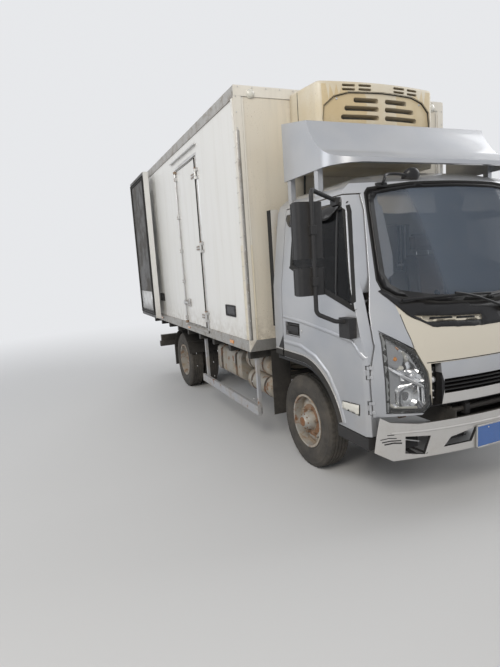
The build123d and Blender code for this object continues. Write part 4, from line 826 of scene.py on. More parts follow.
def blocks(name, body, finish, boxes, round_by=0.003, origin=axle_x):
    """Moulded blocks with rounded edges, from (x0, x1, y0, y1, z0, z1) in millimetres.

    X is counted from the origin, which is the front axle unless another is given.
    """
    points, faces = [], []
    for box in boxes:
        start = len(points)
        xs, ys, zs = (sorted(value / 1000 for value in box[k:k + 2]) for k in (0, 2, 4))
        points += [(origin + x, y, z) for x in xs for y in ys for z in zs]
        faces += [tuple(start + i for i in face) for face in
                  ((0, 1, 3, 2), (4, 6, 7, 5), (0, 4, 5, 1), (2, 3, 7, 6), (0, 2, 6, 4), (1, 5, 7, 3))]
    item = make(name, body, finish, points, faces, 50)
    rounding = item.modifiers.new("rounding", "BEVEL")
    rounding.width = round_by
    rounding.segments = 3
    rounding.harden_normals = True
    return item


def bolts(name, body, finish, places, direction, radius=0.006, height=0.005, sides=6):
    """Bolt or rivet heads that look in one direction, or outward where it is None."""
    points, faces = [], []
    for place in places:
        axis, first, second = basis(direction or (0, math.copysign(1, place[1]), 0))
        start = len(points)
        for reach, along in ((1, -0.001), (1, height * 0.7), (0.78, height), (0.25, height * 1.1)):
            for index in range(sides):
                turn = 2 * math.pi * index / sides
                outward = first * math.cos(turn) + second * math.sin(turn)
                points.append(Vector(place) + outward * radius * reach + axis * along)
        for row in range(3):
            for index in range(sides):
                here, there = start + row * sides + index, start + row * sides + (index + 1) % sides
                faces.append((here, there, there + sides, here + sides))
        faces.append(tuple(start + 3 * sides + index for index in range(sides)))
    return make(name, body, finish, points, faces, 30)


def grid_sheet(name, body, finish, size, spot, thick, angle=40):
    """A thin sheet over a grid of size (columns, rows), with each point given by spot(i, j)."""
    columns, rows = size
    points = [spot(i, j) for i in range(columns) for j in range(rows)]
    faces = [(i * rows + j, (i + 1) * rows + j, (i + 1) * rows + j + 1, i * rows + j + 1)
             for i in range(columns - 1) for j in range(rows - 1)]
    item = make(name, body, finish, points, faces, angle)
    item.modifiers.new("thickness", "SOLIDIFY").thickness = thick
    return item


def ahead(x, y, z):
    """A place in metres from millimetres, with X counted from the front axle."""
    return Vector((axle_x + x / 1000, y / 1000, z / 1000))


def route(*spots):
    """A line of places, each given as for ahead."""
    return [ahead(*spot) for spot in spots]


def flat(*points):
    """Outline points in metres from millimetres."""
    return [(a / 1000, b / 1000) for a, b in points]


def from_axle(*points):
    """Side-view outline points in metres, with X counted from the front axle."""
    return [(axle_x + x / 1000, z / 1000) for x, z in points]


print("tools ready")

# %% [markdown]
# ## The windscreen and its wipers
# A windscreen is glued in, and a black fired border hides the glue. Below it a black cowl panel
# covers the wiper linkage. Both are sheets laid on the panels: the border is the glass outline
# with a smaller outline cut out of it.

# %% Windscreen border, cowl and wipers
FRONT = (1, 0, 0)
UP = (0, 0, 1)
screen_tree = search_tree("cab_glass")
nose_tree = search_tree("cab_front", "grille", "headlamps")
nose_and_screen = search_tree("cab_front", "grille", "headlamps", "cab_glass", "cab_body")


def mirrored(*points):
    """A closed front-view outline from its left half, given from the middle outward."""
    half = flat(*points)
    return half + [(-y, z) for y, z in reversed(half) if y]


glass_edge = mirrored((0, 1374), (400, 1397), (690, 1457), (769, 1512), (785, 1570), (755, 1846),
                      (724, 2138), (698, 2169), (380, 2198), (0, 2204))
clear_edge = mirrored((0, 1424), (400, 1446), (640, 1494), (700, 1536), (722, 1600), (700, 1846),
                      (672, 2090), (640, 2130), (380, 2162), (0, 2168))
laid("screen_border", "cab", trim_black, screen_tree, FRONT, glass_edge, 0.0008, 0.0004, [clear_edge], 0.05)
strip("screen_seal", "cab", seal_rubber, nose_and_screen, FRONT, glass_edge, 0.016, 0.003, 0.0005,
      closed=True)
cowl_edge = mirrored((0, 1222), (200, 1226), (483, 1248), (644, 1338), (795, 1500), (776, 1506),
                     (690, 1449), (400, 1389), (0, 1366))
vent_corners = ((90, 1258), (520, 1284), (600, 1330), (300, 1304), (90, 1294))
vents = [flat(*((turn * y, z) for y, z in vent_corners)) for turn in (1, -1)]
laid("cowl_panel", "cab", trim_black, nose_tree, FRONT, cowl_edge, 0.004, 0.0005, vents, 0.035)
cream_paint = silver_paint("hood_cream", (0.62, 0.56, 0.44), 0.6)
for index, turn in enumerate((1, -1)):
    laid(f"cowl_vent_{index}", "cab", cream_paint, nose_tree, FRONT, vents[index], 0.001, 0.0008)
    for number, (y0, y1, z0, z1) in enumerate(((150, 300, 1277, 1290), (330, 500, 1290, 1303))):
        slot = flat((turn * y0, z0), (turn * y1, z0 + 8), (turn * (y1 - 6), z1 + 8), (turn * y0, z1))
        laid(f"cowl_slot_{index}_{number}", "cab", trim_black, nose_tree, FRONT, slot, 0.001, 0.0022,
             step=0.02)
blades = [((969, -677, 1434), (1016, -293, 1440), (1040, 10, 1425)),
          ((1040, -16, 1408), (1016, 330, 1432), (975, 640, 1440))]
arms = [((1068, 93, 1330), (1066, 40, 1352), (1045, -200, 1440), (1030, -300, 1452)),
        ((1040, 600, 1340), (1040, 560, 1362), (1035, 420, 1440), (1030, 330, 1450))]
for number, (blade, arm) in enumerate(zip(blades, arms)):
    line = [ahead(x + 34, y, z) for x, y, z in blade]
    reach = [ahead(x + 40, y, z) for x, y, z in arm]
    under = [spot + Vector((-0.012, 0, -0.004)) for spot in line]
    tubes(f"wiper_blade_{number}", "cab", trim_black, [line], 0.008)
    tubes(f"wiper_rubber_{number}", "cab", seal_rubber, [under], 0.006)
    tubes(f"wiper_arm_{number}", "cab", trim_black, [reach], 0.0085)
    turned(f"wiper_pivot_{number}", "cab", trim_black, [(0, 30), (12, 30), (17, 22), (19, 0), (19, -50)],
           [reach[0]], (0.8, 0, 0.6))
print("windscreen edge points", len(glass_edge), "wipers", len(blades))

# %% [markdown]
# ## The headlamps
# A headlamp is a clear moulded lens over a bright tray that holds bowls, a round projector and
# bulbs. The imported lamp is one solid, so it is replaced: a thin lens on its outer face, and
# behind it a tray that is pressed in deeper the further it lies from the lamp's edge.

# %% Headlamps behind clear lenses
lamp_tree = search_tree("headlamps", "cab_front")
lens_glass = clear_glass("lamp_lens", (0.55, 0.57, 0.58), 0.05, 0.6, 0.03, 0.12)
fluted = Finish("lamp_silver", metal=1.0, rough=0.16)
flutes = fluted.wave(26, "Y", 0.4)
fluted.set("colour", fluted.mix(flutes, (0.62, 0.63, 0.65), (0.92, 0.92, 0.93)))
lamp_silver = fluted.bump(flutes, 0.010, 0.9).material
tray_black = dull_black("lamp_tray", (0.012, 0.012, 0.013), 0.25, 0.1, 300, 0.2)
lamp_bulb = [(0, 36), (8, 34), (14, 26), (16, 14), (13, 0), (20, -4), (22, -12)]
turned_lamp_parts = {
    "projector": (chrome, (655, 800, -75), 48,
                  [(30, -10), (46, 0), (60, 22), (70, 34), (74, 34), (74, 26), (62, -20)]),
    "ball": (lens_clear, (655, 800, -75), 48, [(0, 34), (12, 33), (24, 29), (34, 22), (41, 12), (44, 0)]),
    "amber_bulb": (amber_lens, (742, 1062, -62), 24, lamp_bulb),
    "high_bulb": (clear_lens, (701, 1000, -66), 24, lamp_bulb)}


def pressed(steepness, depth):
    """Presses a lamp's sheet in, by its distance from the edge, down to a flat floor."""
    return lambda edge: min(depth, edge * steepness)


def on_side(side, *points):
    """A front-view outline in metres on one side, from millimetres away from the middle."""
    return [(side * y / 1000, z / 1000) for y, z in points]


for name, side in SIDES:
    rim = on_side(side, (843, 1243), (637, 1117), (557, 965), (542, 880), (545, 750), (585, 703),
                  (833, 727))
    inner = on_side(side, (815, 1207), (653, 1094), (580, 957), (566, 880), (569, 765), (600, 730),
                    (810, 752))
    high_bowl = on_side(side, (800, 1185), (662, 1086), (600, 975), (640, 925), (812, 1040))
    low_bowl = on_side(side, (560, 900), (592, 952), (802, 1012), (800, 770), (740, 745), (740, 850),
                       (640, 900))
    lens = laid(f"lamp_lens_{name}", "cab", lens_glass, lamp_tree, FRONT, rim, 0.003, -0.003, step=0.025)
    laid(f"lamp_border_{name}", "cab", tray_black, lamp_tree, FRONT, rim, 0.001, -0.006, [inner], 0.025)
    for part, finish, outline, lift, step, sink in (
            ("tray", lamp_silver, rim, -0.010, 0.02, pressed(2.2, 0.085)),
            ("high_bowl", chrome, high_bowl, -0.022, 0.015, pressed(1.6, 0.055)),
            ("low_bowl", chrome, low_bowl, -0.024, 0.015, pressed(1.4, 0.045))):
        laid(f"lamp_{part}_{name}", "cab", finish, lamp_tree, FRONT, outline, 0, lift, (), step, sink, 25)
    strip(f"lamp_divider_{name}", "cab", chrome, lamp_tree, FRONT,
          on_side(side, (828, 1030), (690, 940), (556, 858)), 0.022, 0.008, -0.026)
    strip(f"lamp_day_light_{name}", "cab", clear_lens, lamp_tree, FRONT,
          on_side(side, (812, 1010), (805, 780), (770, 748), (620, 735)), 0.018, 0.006, -0.024)
    for part, (finish, (y, z, depth), steps, profile) in turned_lamp_parts.items():
        place = landing(lamp_tree, FRONT, side * y / 1000, z / 1000, depth / 1000)
        turned(f"lamp_{part}_{name}", "cab", finish, profile, [place], FRONT, steps)
    if name == "right":
        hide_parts("headlamps")
print("lamps hold", sorted(turned_lamp_parts))

# %% [markdown]
# ## Nose, grille and bumper
# The grille's bars are silver with black mesh between them. On this truck the right end of the
# grille has broken off, so its black mounting bracket shows beside the lamp.

# %% Grille mesh, hood seams, bumper openings and front plate
grille_tree = search_tree("grille", "cab_front")
bumper_tree = search_tree("front_bumper")
mesh_lines = []
for column in range(44):
    y = -0.44 + 0.02 * column
    for lean in (0.02, -0.02):
        mesh_lines.append([landing(grille_tree, FRONT, y - lean, 0.812, -0.012),
                           landing(grille_tree, FRONT, y + lean, 0.904, -0.012)])
tubes("grille_mesh", "cab", trim_black, mesh_lines, 0.0022, rounded=False)
for name, turn in (("hood_seam", -1), ("hood_seam_left", 1)):
    strip(name, "cab", trim_black, nose_tree, FRONT,
          flat((turn * 690, 1345), (turn * 670, 1248), (turn * 637, 1130)), 0.005, 0.0012, 0.0002)
strip("hood_edge", "cab", trim_black, nose_tree, FRONT,
      flat((-556, 1024), (-300, 1022), (0, 1021), (300, 1022), (556, 1024)), 0.006, 0.0012, 0.0002)
for name, side in SIDES:
    # Painted shade: dark sheets behind the fog lamp hollows and the intakes stand for the shade inside them.
    blocks(f"opening_shade_sheet_{name}", "chassis", trim_black,
           [(960, 972, side * 540, side * 770, 425, 575), (1030, 1042, side * 195, side * 485, 450, 570)])
    bar = route((1012, side * 735, 532), (1050, side * 600, 500))
    tubes(f"fog_bar_{name}", "chassis", aluminium, [bar], 0.005, rounded=False)
    slats = [route((1085, side * 230, z), (1065, side * 465, z)) for z in (482, 503, 524, 545)]
    tubes(f"intake_slats_{name}", "chassis", trim_black, slats, 0.004, rounded=False)
strip("bumper_fold", "chassis", bumper_paint, bumper_tree, FRONT,
      flat((-836, 600), (-600, 590), (-200, 585), (200, 585), (600, 590), (836, 600)), 0.014, 0.004)
scrapes = [flat((-905, 566), (-850, 572), (-800, 566)), flat((-895, 548), (-840, 553), (-770, 548)),
           flat((-880, 532), (-820, 537), (-765, 530)), flat((-860, 592), (-815, 590)),
           flat((-700, 448), (-640, 444), (-590, 440))]
for number, scrape in enumerate(scrapes):
    strip(f"bumper_scrape_{number}", "chassis", black_plastic, bumper_tree, FRONT, scrape,
          0.006 + 0.002 * (number % 3), 0.0004, 0.0002, False, 0.02)
plate_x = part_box("front_bumper")[1].x + 0.002
blocks("front_plate", "chassis", plate_blue, [(0, 4, -220, 220, 418, 558)], 0.0015, plate_x)
blocks("front_plate_frame", "chassis", aluminium,
       [(-4, 7, -228, -218, 410, 566), (-4, 7, 218, 228, 410, 566), (-4, 7, -228, 228, 409, 419),
        (-4, 7, -228, 228, 557, 567)], 0.002, plate_x)
bolts("front_plate_screws", "chassis", aluminium, [(plate_x + 0.004, y, 0.540) for y in (-0.12, 0.12)],
      FRONT, 0.006, 0.003)
print("grille lines", len(mesh_lines))

# %% Bracket where the grille's corner is missing
blocks("lamp_bracket", "cab", trim_black,
       [(1035, 1060, -535, -470, 930, 985), (1030, 1048, -530, -462, 755, 935),
        (1040, 1066, -520, -475, 800, 860), (1020, 1040, -545, -380, 748, 790)], 0.006)
turned("bracket_boss", "cab", aluminium, [(0, 24), (10, 23), (19, 17), (24, 6), (26, -20)],
       [ahead(1052, -492, 900)], FRONT, 32)
bolts("bracket_bolts", "cab", aluminium,
      route((1061, -500, 955), (1067, -498, 830), (1049, -478, 775)), FRONT, 0.008, 0.007)
print("bracket beside the lamp")

# %% [markdown]
# ## Doors, windows and mirrors
# Side glass sits in a black rubber seal, a smoked visor keeps rain out above it, and the flare
# round the wheel is a raised lip pressed into the door. The handle is a black cup with a pull
# bar. All of these ride on the door, so that they open with it.

# %% Window seals, visors, handles and door trims
window_edge = from_axle((33, 1684), (574, 1500), (888, 1404), (698, 2056), (33, 2036))
window_bar = from_axle((690, 1470), (628, 2040))
belt_line = from_axle((20, 1676), (574, 1488), (905, 1390))
handle_cup = from_axle((-60, 1136), (164, 1136), (164, 1234), (-60, 1234))
turn_lamp = from_axle((725, 757), (916, 776), (910, 707), (723, 709))
arch_crease = from_axle((-95, 1070), (172, 1068), (400, 1012), (560, 915), (660, 780), (735, 600))
door_fold = from_axle((-100, 1280), (200, 1262), (560, 1225), (865, 1188), (975, 1090))
visor_smoke = clear_glass("visor_smoke", (0.010, 0.009, 0.009), 0.86, 0.97, 0.12, 0.1)
arch_x, arch_z, door_back_x = axle_x + 0.185, 0.440, axle_x - 0.095
handle_y = 953
rear_arch_tree = search_tree("cab_body")


def rain_visor_spot(i, j):
    """A bowed strip over the window, which narrows and flattens at both ends."""
    share, fall = i / 24, j / 6
    drop = 0.105 * min(1, 4 * share + 0.35, 5 * (1 - share) + 0.1)
    rise = 0.004 + 0.036 * math.sin(fall * math.pi / 2) * min(1, 6 * share + 0.2, 4 * (1 - share))
    return landing(skin_tree, out, axle_x - 0.085 + 0.785 * share, 2.088 - drop * fall, rise)


def door_card_spot(i, j):
    """A soft card inside the door, with an arm rest along it and slight waves."""
    z = 1.02 + 0.30 * j / 13
    swell = 0.012 + 0.022 * math.exp(-((z - 1.20) / 0.05) ** 2) + 0.004 * math.sin(i * 0.8)
    return axle_x - 0.06 + 0.96 * i / 24, side * (0.902 - swell), z


for name, side in SIDES:
    out = (0, side, 0)
    body = f"door_{name}"
    door_tree = search_tree(f"cab_door_{name}", f"door_glass_{name}")
    skin_tree = search_tree(f"cab_door_{name}", "cab_body", "cab_front")
    for part, finish, tree, line, width, thick, lift, closed in (
            ("window_seal", seal_rubber, door_tree, window_edge, 0.030, 0.006, 0.0005, True),
            ("window_bar", trim_black, door_tree, window_bar, 0.022, 0.004, 0.002, False),
            ("belt_rubber", seal_rubber, door_tree, belt_line, 0.022, 0.008, 0.001, False),
            ("turn_lamp_rim", trim_black, skin_tree, turn_lamp, 0.010, 0.006, 0.0, True),
            ("arch_crease", cab_paint, skin_tree, arch_crease, 0.040, 0.008, 0.0, False),
            ("door_fold", cab_paint, skin_tree, door_fold, 0.030, 0.005, 0.0, False)):
        strip(f"{part}_{name}", body, finish, tree, out, line, width, thick, lift, closed)
    laid(f"handle_cup_{name}", body, trim_black, door_tree, out, handle_cup, 0.003, 0.0005, step=0.02)
    laid(f"turn_lamp_{name}", body, clear_lens, skin_tree, out, turn_lamp, 0.009, 0.0, step=0.02)
    grid_sheet(f"rain_visor_{name}", body, visor_smoke, (25, 7), rain_visor_spot, 0.003, 60)
    grid_sheet(f"door_card_{name}", body, dash_plastic, (25, 14), door_card_spot, 0.004)
    blocks(f"handle_bar_{name}", body, trim_black,
           [(-45, 150, side * (handle_y + 4), side * (handle_y + 16), 1168, 1212),
            (100, 128, side * (handle_y - 12), side * (handle_y + 6), 1150, 1172)], 0.005)
    turned(f"door_lock_{name}", body, aluminium, [(0, 4), (6, 4), (10, 3), (12, 0), (12, -10)],
           [landing(skin_tree, out, axle_x + 0.20, 1.185, 0.001)], out, 24)
    for kind, finish, radius, width, thick in (("flare", flap_rubber, 0.529, 0.058, 0.012),
                                               ("lip", bumper_paint, 0.562, 0.010, 0.010)):
        arc = [(arch_x + radius * math.cos(math.radians(a)), arch_z + radius * math.sin(math.radians(a)))
               for a in range(17, 91, 5)]
        top = arch_z + radius
        strip(f"arch_{kind}_{name}", body, finish, skin_tree, out, arc + [(door_back_x, top)], width,
              thick)
        strip(f"rear_{kind}_{name}", "cab", finish, rear_arch_tree, out,
              [(axle_x - 0.118, top), (axle_x - 0.245, top)], width, thick)
    blocks(f"step_tread_{name}", "cab", black_plastic,
           [(x, x + 18, side * 862, side * 955, 568.5, 572.5) for x in range(700, 960, 36)], 0.0012)
print("doors dressed")

# %% Mirrors on the doors
mirror_x, mirror_in, mirror_out = 695, 1098, 1272
for name, side in SIDES:
    body = f"door_{name}"
    for number, (low, high) in enumerate(((1500, 1675), (1730, 2080))):
        y0, y1 = side * mirror_in, side * mirror_out
        blocks(f"mirror_glass_{name}_{number}", body, mirror_face,
               [(mirror_x - 4, mirror_x + 2, y0, y1, low + 10, high - 10)], 0.002)
        blocks(f"mirror_frame_{name}_{number}", body, trim_black,
               [(mirror_x - 6, mirror_x + 10, y - 4, y + 4, low + 5, high - 5) for y in (y0, y1)]
               + [(mirror_x - 6, mirror_x + 10, y0, y1, z, z + 8) for z in (low + 2, high - 10)], 0.002)
        bolts(f"mirror_clamp_{name}_{number}", body, aluminium,
              [ahead(768, side * 1200, (low + high) / 2 + k) for k in (-18, 18)], FRONT)
    blocks(f"mirror_collar_{name}", body, black_plastic,
           [(782, 818, side * 1165, side * 1205, z0, z1) for z0, z1 in ((1560, 1616), (1876, 1934))],
           0.006)

roof_tree = search_tree("cab_body", "cab_front")
foot = landing(roof_tree, FRONT, -0.60, 2.185, 0.004)
tubes("corner_mirror_arm", "cab", trim_black,
      [[foot, foot + Vector((0.05, -0.01, 0.03))]
       + route((720, -560, 2262), (725, -420, 2262), (715, -345, 2246))], 0.010)
for part, finish, profile in (
        ("head", trim_black, [(0, 30), (30, 26), (55, 12), (66, -6), (66, -14), (58, -16)]),
        ("glass", mirror_face, [(0, -8), (30, -10), (58, -16)])):
    turned(f"corner_mirror_{part}", "cab", finish, profile, [ahead(712, -330, 2240)], (0.8, -0.2, -0.5), 32)
foot_y, foot_z = foot.y * 1000, foot.z * 1000
blocks("corner_mirror_foot", "cab", trim_black,
       [(-25, 12, foot_y - 40, foot_y + 40, foot_z - 14, foot_z + 18)], 0.006, foot.x)
print("corner mirror foot", [round(v, 3) for v in foot])

# %% [markdown]
# ## Wheels and tyres
# A tyre is one profile turned about its axle: bead, flexing sidewall, shoulder, ribs and
# grooves. The shoulder blocks come from pressing every fourth step of the outer ribs inward.
# A worn delivery tyre is brown with dust, and its steel wheel is rusty round the nuts.

# %% Tyres with ribs and shoulder blocks
side_wall = [(216.8, 70), (224, 75), (229, 80), (233, 82), (240, 84), (248, 88), (251, 90), (255, 90),
             (275, 96), (292, 99), (296, 99.4), (300, 99.4), (304, 99.2), (308, 98.6), (330, 95),
             (345, 91.5), (349, 92.5), (355, 92.5), (359, 89.5), (372, 82.5), (380, 79), (386, 75)]
ribs = [(388, 70), (388, 50), (380.5, 48), (380.5, 41), (388, 39), (388, 20), (380.5, 18), (380.5, 11),
        (388, 9)]
tyre_half = side_wall + ribs
tyre_profile = tyre_half + [(r, -w) for r, w in reversed(tyre_half)]
tyre_steps = 192
front_track, inner_track, outer_track = 0.770, 0.672, 0.896


def block_cut(step, radius, along):
    """How far a tread point is pressed in to part the shoulder blocks and mark the ribs."""
    if step % 4 == 0 and 0.0495 < abs(along) < 0.0805 and radius > 0.379:
        return 0.006
    if step % 8 == 2 and 0.015 < abs(along) < 0.045 and radius > 0.387:
        return 0.003
    return 0


for name, side in SIDES:
    out = (0, side, 0)
    front = turned(f"tread_front_{name}", f"wheel_front_{name}", tyre_finish, tyre_profile,
                   [Vector((axle_x, side * front_track, front_axle.z))], out, tyre_steps, block_cut)
    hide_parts(f"tyre_front_{name}")
    rear = turned(f"tread_rear_{name}", f"wheels_rear_{name}", tyre_finish, tyre_profile,
                  [Vector((rear_axle.x, side * y, rear_axle.z)) for y in (inner_track, outer_track)], out,
                  tyre_steps, block_cut)
    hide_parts(f"tyres_rear_{name}")
print("tyre faces", len(front.data.polygons), "front,", len(rear.data.polygons), "rear pair")

# %% Wheel nuts, hubs and valves
nut_circle, bolt_circle = 0.111, 0.060


def on_circle(centre, radius, y, degrees):
    """Places on a circle about a wheel's axle."""
    return [Vector((centre.x + radius * math.cos(math.radians(angle)), y,
                    centre.z + radius * math.sin(math.radians(angle)))) for angle in degrees]


for name, side in SIDES:
    out = (0, side, 0)
    for kind, body, centre, face_y, hub_y in (
            ("front", f"wheel_front_{name}", front_axle, 0.807, 0.892),
            ("rear", f"wheels_rear_{name}", rear_axle, 0.793, 0.884)):
        end = f"{kind}_{name}"
        nuts = on_circle(centre, nut_circle, side * face_y, range(12, 372, 60))
        bolts(f"wheel_nuts_{end}", body, hub_rust, nuts, out, 0.0165, 0.020)
        bolts(f"wheel_studs_{end}", body, pipe_steel, [nut + Vector((0, side * 0.018, 0)) for nut in nuts],
              out, 0.0085, 0.020, 12)
        turned(f"nut_washers_{end}", body, hub_rust, [(10, 4), (22, 4), (24, 2), (24, -1)], nuts, out, 20)
        turned(f"hub_ring_{end}", body, hub_rust, [(86, 0.8), (88, 3), (132, 3), (135, 0.6)],
               [Vector((centre.x, side * face_y, centre.z))], out, 72)
        turned(f"hub_cap_{end}", body, hub_rust, [(0, 8), (20, 8), (34, 6), (40, 1), (43, -4), (43, -16)],
               [Vector((centre.x, side * hub_y, centre.z))], out, 40)
        bolts(f"hub_bolts_{end}", body, hub_rust,
              on_circle(centre, bolt_circle, side * (hub_y - 0.022), range(0, 360, 45)), out, 0.006, 0.006)
        valve = Vector((centre.x + 0.196, side * (face_y - 0.012), centre.z))
        tubes(f"valve_{end}", body, aluminium,
              [[valve, valve + Vector((0.002, side * 0.02, 0)), valve + Vector((0.004, side * 0.04, 0))]],
              0.004)
print("wheels have", len(nuts), "nuts each")

# %% [markdown]
# ## The box: door furniture, rails and lamps
# An insulated box is glued from thick panels, and its edges are covered by riveted rails. The
# side door hangs on three steel hinges, and a rod with hooks at both ends pulls it shut against
# a rubber gasket. Rivets, gasket and rod follow the door's own place, so they sit where it sits.

# %% Side door gasket, latch, bolts and recess plates
RIGHT = (0, -1, 0)
leaf_tree = search_tree("side_door", "box_wall_right")
wall_tree = search_tree("box_wall_right")
leaf_edge = from_axle((-2480, 1037), (-1654, 1037), (-1654, 2878), (-2480, 2878))
door_frame = from_axle((-2512, 1012), (-1622, 1012), (-1622, 2906), (-2512, 2906))
for name, body, finish, tree, line, width, thick, closed in (
        ("side_door_gasket", "box_side_door", seal_rubber, leaf_tree, leaf_edge, 0.022, 0.007, True),
        ("side_door_gap", "box_side_door", seal_rubber, leaf_tree, from_axle((-1660, 1045), (-1660, 2870)),
         0.055, 0.009, False),
        ("side_door_frame", "chassis", stainless, wall_tree, door_frame, 0.040, 0.004, True),
        ("side_door_sill", "chassis", rail_grey, wall_tree, from_axle((-2560, 1004), (-1590, 1004)),
         0.030, 0.012, False)):
    strip(name, body, finish, tree, RIGHT, line, width, thick, closed=closed, step=0.3)
rod_x, rod_y = -2425, -1147
for number, z in enumerate((1056, 2858)):
    turned(f"rod_hook_{number}", "box_side_door", pipe_steel, [(12, -16), (21, -12), (21, 12), (12, 16)],
           [ahead(rod_x, rod_y, z)], UP, 20)
blocks("latch_handle", "box_side_door", aluminium,
       [(rod_x - 12, rod_x + 165, rod_y - 26, rod_y - 12, 1288, 1313),
        (rod_x + 110, rod_x + 190, -1150, -1128, 1255, 1345),
        (rod_x - 20, rod_x + 20, rod_y - 20, rod_y + 14, 1270, 1330)], 0.005)
bolts("latch_bolts", "box_side_door", pipe_steel, [ahead(rod_x + 150, -1150, z) for z in (1268, 1332)],
      RIGHT, 0.007)
hinge_heights = (1170, 1930, 2700)
guide_bolts = [ahead(rod_x + dx, -1157, z + dz) for z in (1110, 1560, 1930, 2330, 2780) for dx in (-15, 15)
               for dz in (-12, 12)]
hinge_bolts = [ahead(-1650 - dx, -1137, z + dz) for z in hinge_heights for dx in (60, 100, 140)
               for dz in (-14, 14)]
bolts("rod_guide_bolts", "box_side_door", pipe_steel, guide_bolts, RIGHT, 0.0055, 0.004)
bolts("side_hinge_bolts", "box_side_door", pipe_steel, hinge_bolts, RIGHT, 0.0065)
turned("side_hinge_pins", "chassis", hub_rust, [(0, 66), (10, 65), (12.5, 61), (12.5, 55), (9.2, 54.5)],
       [ahead(-1628, -1145, z) for z in hinge_heights], UP, 20)
for number, (x, z) in enumerate(((-1017, 1239), (-3907, 1259))):
    loop = from_axle((x, z), (x + 250, z), (x + 250, z + 100), (x, z + 100))
    laid(f"recess_plate_{number}", "chassis", trim_black, wall_tree, RIGHT, loop, 0.005)
    strip(f"recess_rim_{number}", "chassis", black_plastic, wall_tree, RIGHT, loop, 0.012, 0.009, closed=True)
print("hinge bolts", len(hinge_bolts), "guide bolts", len(guide_bolts))

# %% Rails, corner posts and their rivets
rivet_y, post_pitch = 1.1328, 0.125
cream_guard = gel_coat("corner_guard_cream", (0.74, 0.66, 0.50), 0.5, 0.5, 0.7).material


def rivets(name, places, direction=None):
    """Round rivet heads on the box, looking outward unless a direction is given."""
    bolts(name, "chassis", aluminium, places, direction, 0.0045, 0.0022, 8)


for name, side in SIDES:
    out = (0, side, 0)
    side_tree = search_tree(f"box_wall_{name}")
    rail_places = [(back_x + 0.05 + index * (front_x - back_x - 0.10) / 52, side * rivet_y, z)
                   for index in range(53) for z in (0.975, 1.020, 3.110, 3.165)]
    rivets(f"rail_rivets_{name}", rail_places)
    rivets(f"post_rivets_{name}", [(front_x - dx, side * rivet_y, 1.08 + post_pitch * k)
                                   for k in range(17) for dx in (0.018, 0.052)])
    strip(f"corner_post_{name}", "chassis", post_white, side_tree, out,
          [(front_x - 0.034, 1.05), (front_x - 0.034, 3.09)], 0.062, 0.006, step=0.4)
    strip(f"corner_guard_{name}", "chassis", cream_guard, side_tree, out,
          [(front_x - 0.036, 1.05), (front_x - 0.036, 1.885)], 0.070, 0.0078, step=0.2)
    blocks(f"side_marker_{name}", "chassis", amber_lens,
           [(x - 45, x + 45, side * 1133.5, side * 1141.5, 972, 1004) for x in (-900, -2400, -3900)])
print("rail rivets a side", len(rail_places))

# %% Front wall: corner angles, marker lamps and hoses
wall_front = search_tree("box_front_wall")
for name, side in SIDES:
    strip(f"front_angle_{name}", "chassis", rail_grey, wall_front, FRONT,
          [(side * 1.113, 1.05), (side * 1.113, 3.12)], 0.034, 0.004, step=0.3)
    rivets(f"angle_rivets_{name}",
           [(front_x + 0.0042, side * 1.113, 1.10 + post_pitch * k) for k in range(17)], FRONT)
    turned(f"marker_lamp_{name}", "chassis", clear_lens,
           [(0, 22), (18, 20), (30, 12), (34, 0), (38, -1), (38, -10)],
           [(front_x + 0.004, side * 0.979, 3.130)], FRONT, 28)
strip("front_top_rail", "chassis", post_white, wall_front, FRONT, [(-1.12, 3.158), (1.12, 3.158)], 0.060,
      0.005, step=0.3)
rivets("top_rail_rivets", [(front_x + 0.006, -1.09 + 0.13 * k, 3.175) for k in range(17)], FRONT)
hose = [(front_x + dx, y, z) for dx, y, z in ((0.02, 0.50, 2.47), (0.035, 0.52, 2.30), (0.022, 0.53, 1.9),
                                              (0.022, 0.53, 1.4), (0.022, 0.54, 1.0))]
tubes("cooling_hoses", "chassis", seal_rubber, [hose, [(x, y + 0.05, z) for x, y, z in hose]], 0.016)
tubes("drain_hose", "chassis", black_plastic, [[(x - 0.004, -y, z) for x, y, z in hose]], 0.010)
blocks("hose_clips", "chassis", aluminium,
       [(-2, 42, 505, 605, z, z + 22) for z in (1200, 1600, 2000)], 0.004, front_x)
print("front wall dressed")

# %% [markdown]
# ## The refrigeration unit
# Behind the slots of its cover the unit has a condenser: thin fins on copper tubes. Only dark
# shadow and a hint of fins show, so a row of fins stands a little way behind the slots. The
# cover is held by a seam, latches and screws.

# %% Condenser fins, cover seam and latches
unit_tree = search_tree("fridge_unit")
fin_places = [-460 + 920 * index / 149 for index in range(150)]
fins = [(-118, -100, y, y + 1.2, 2600, 3000) for y in fin_places]
blocks("condenser_fins", "chassis", stainless, fins, 0.0003, fridge_high.x)
panel_loop = mirrored((0, 2560), (440, 2560), (520, 2660), (548, 2830), (536, 2930), (450, 3000), (320, 3032),
                      (0, 3040))
strip("panel_seam", "chassis", seal_rubber, unit_tree, FRONT, panel_loop, 0.010, 0.002, closed=True,
      step=0.05)
screws = [landing(unit_tree, FRONT, turn * y, z, 0.0)
          for y, z in ((0.50, 2.78), (0.40, 2.60), (0.42, 2.985)) for turn in (-1, 1)]
bolts("panel_screws", "chassis", stainless, screws, FRONT, 0.009, 0.005, 8)
for name, side in SIDES:
    out = Vector((0, side, 0))
    strip(f"cover_seam_{name}", "chassis", seal_rubber, unit_tree, out,
          [(fridge_low.x + 0.13, 2.52), (fridge_low.x + 0.13, 3.12)], 0.008, 0.002, step=0.1)
    latch = landing(unit_tree, out, fridge_low.x + 0.19, 2.62, 0.0)
    latch_y = latch.y * 1000
    blocks(f"cover_latch_{name}", "chassis", stainless,
           [(-35, 35, latch_y - 4, latch_y + side * 12, 2600, 2640),
            (-10, 45, latch_y, latch_y + side * 20, 2612, 2628)], 0.004, latch.x)
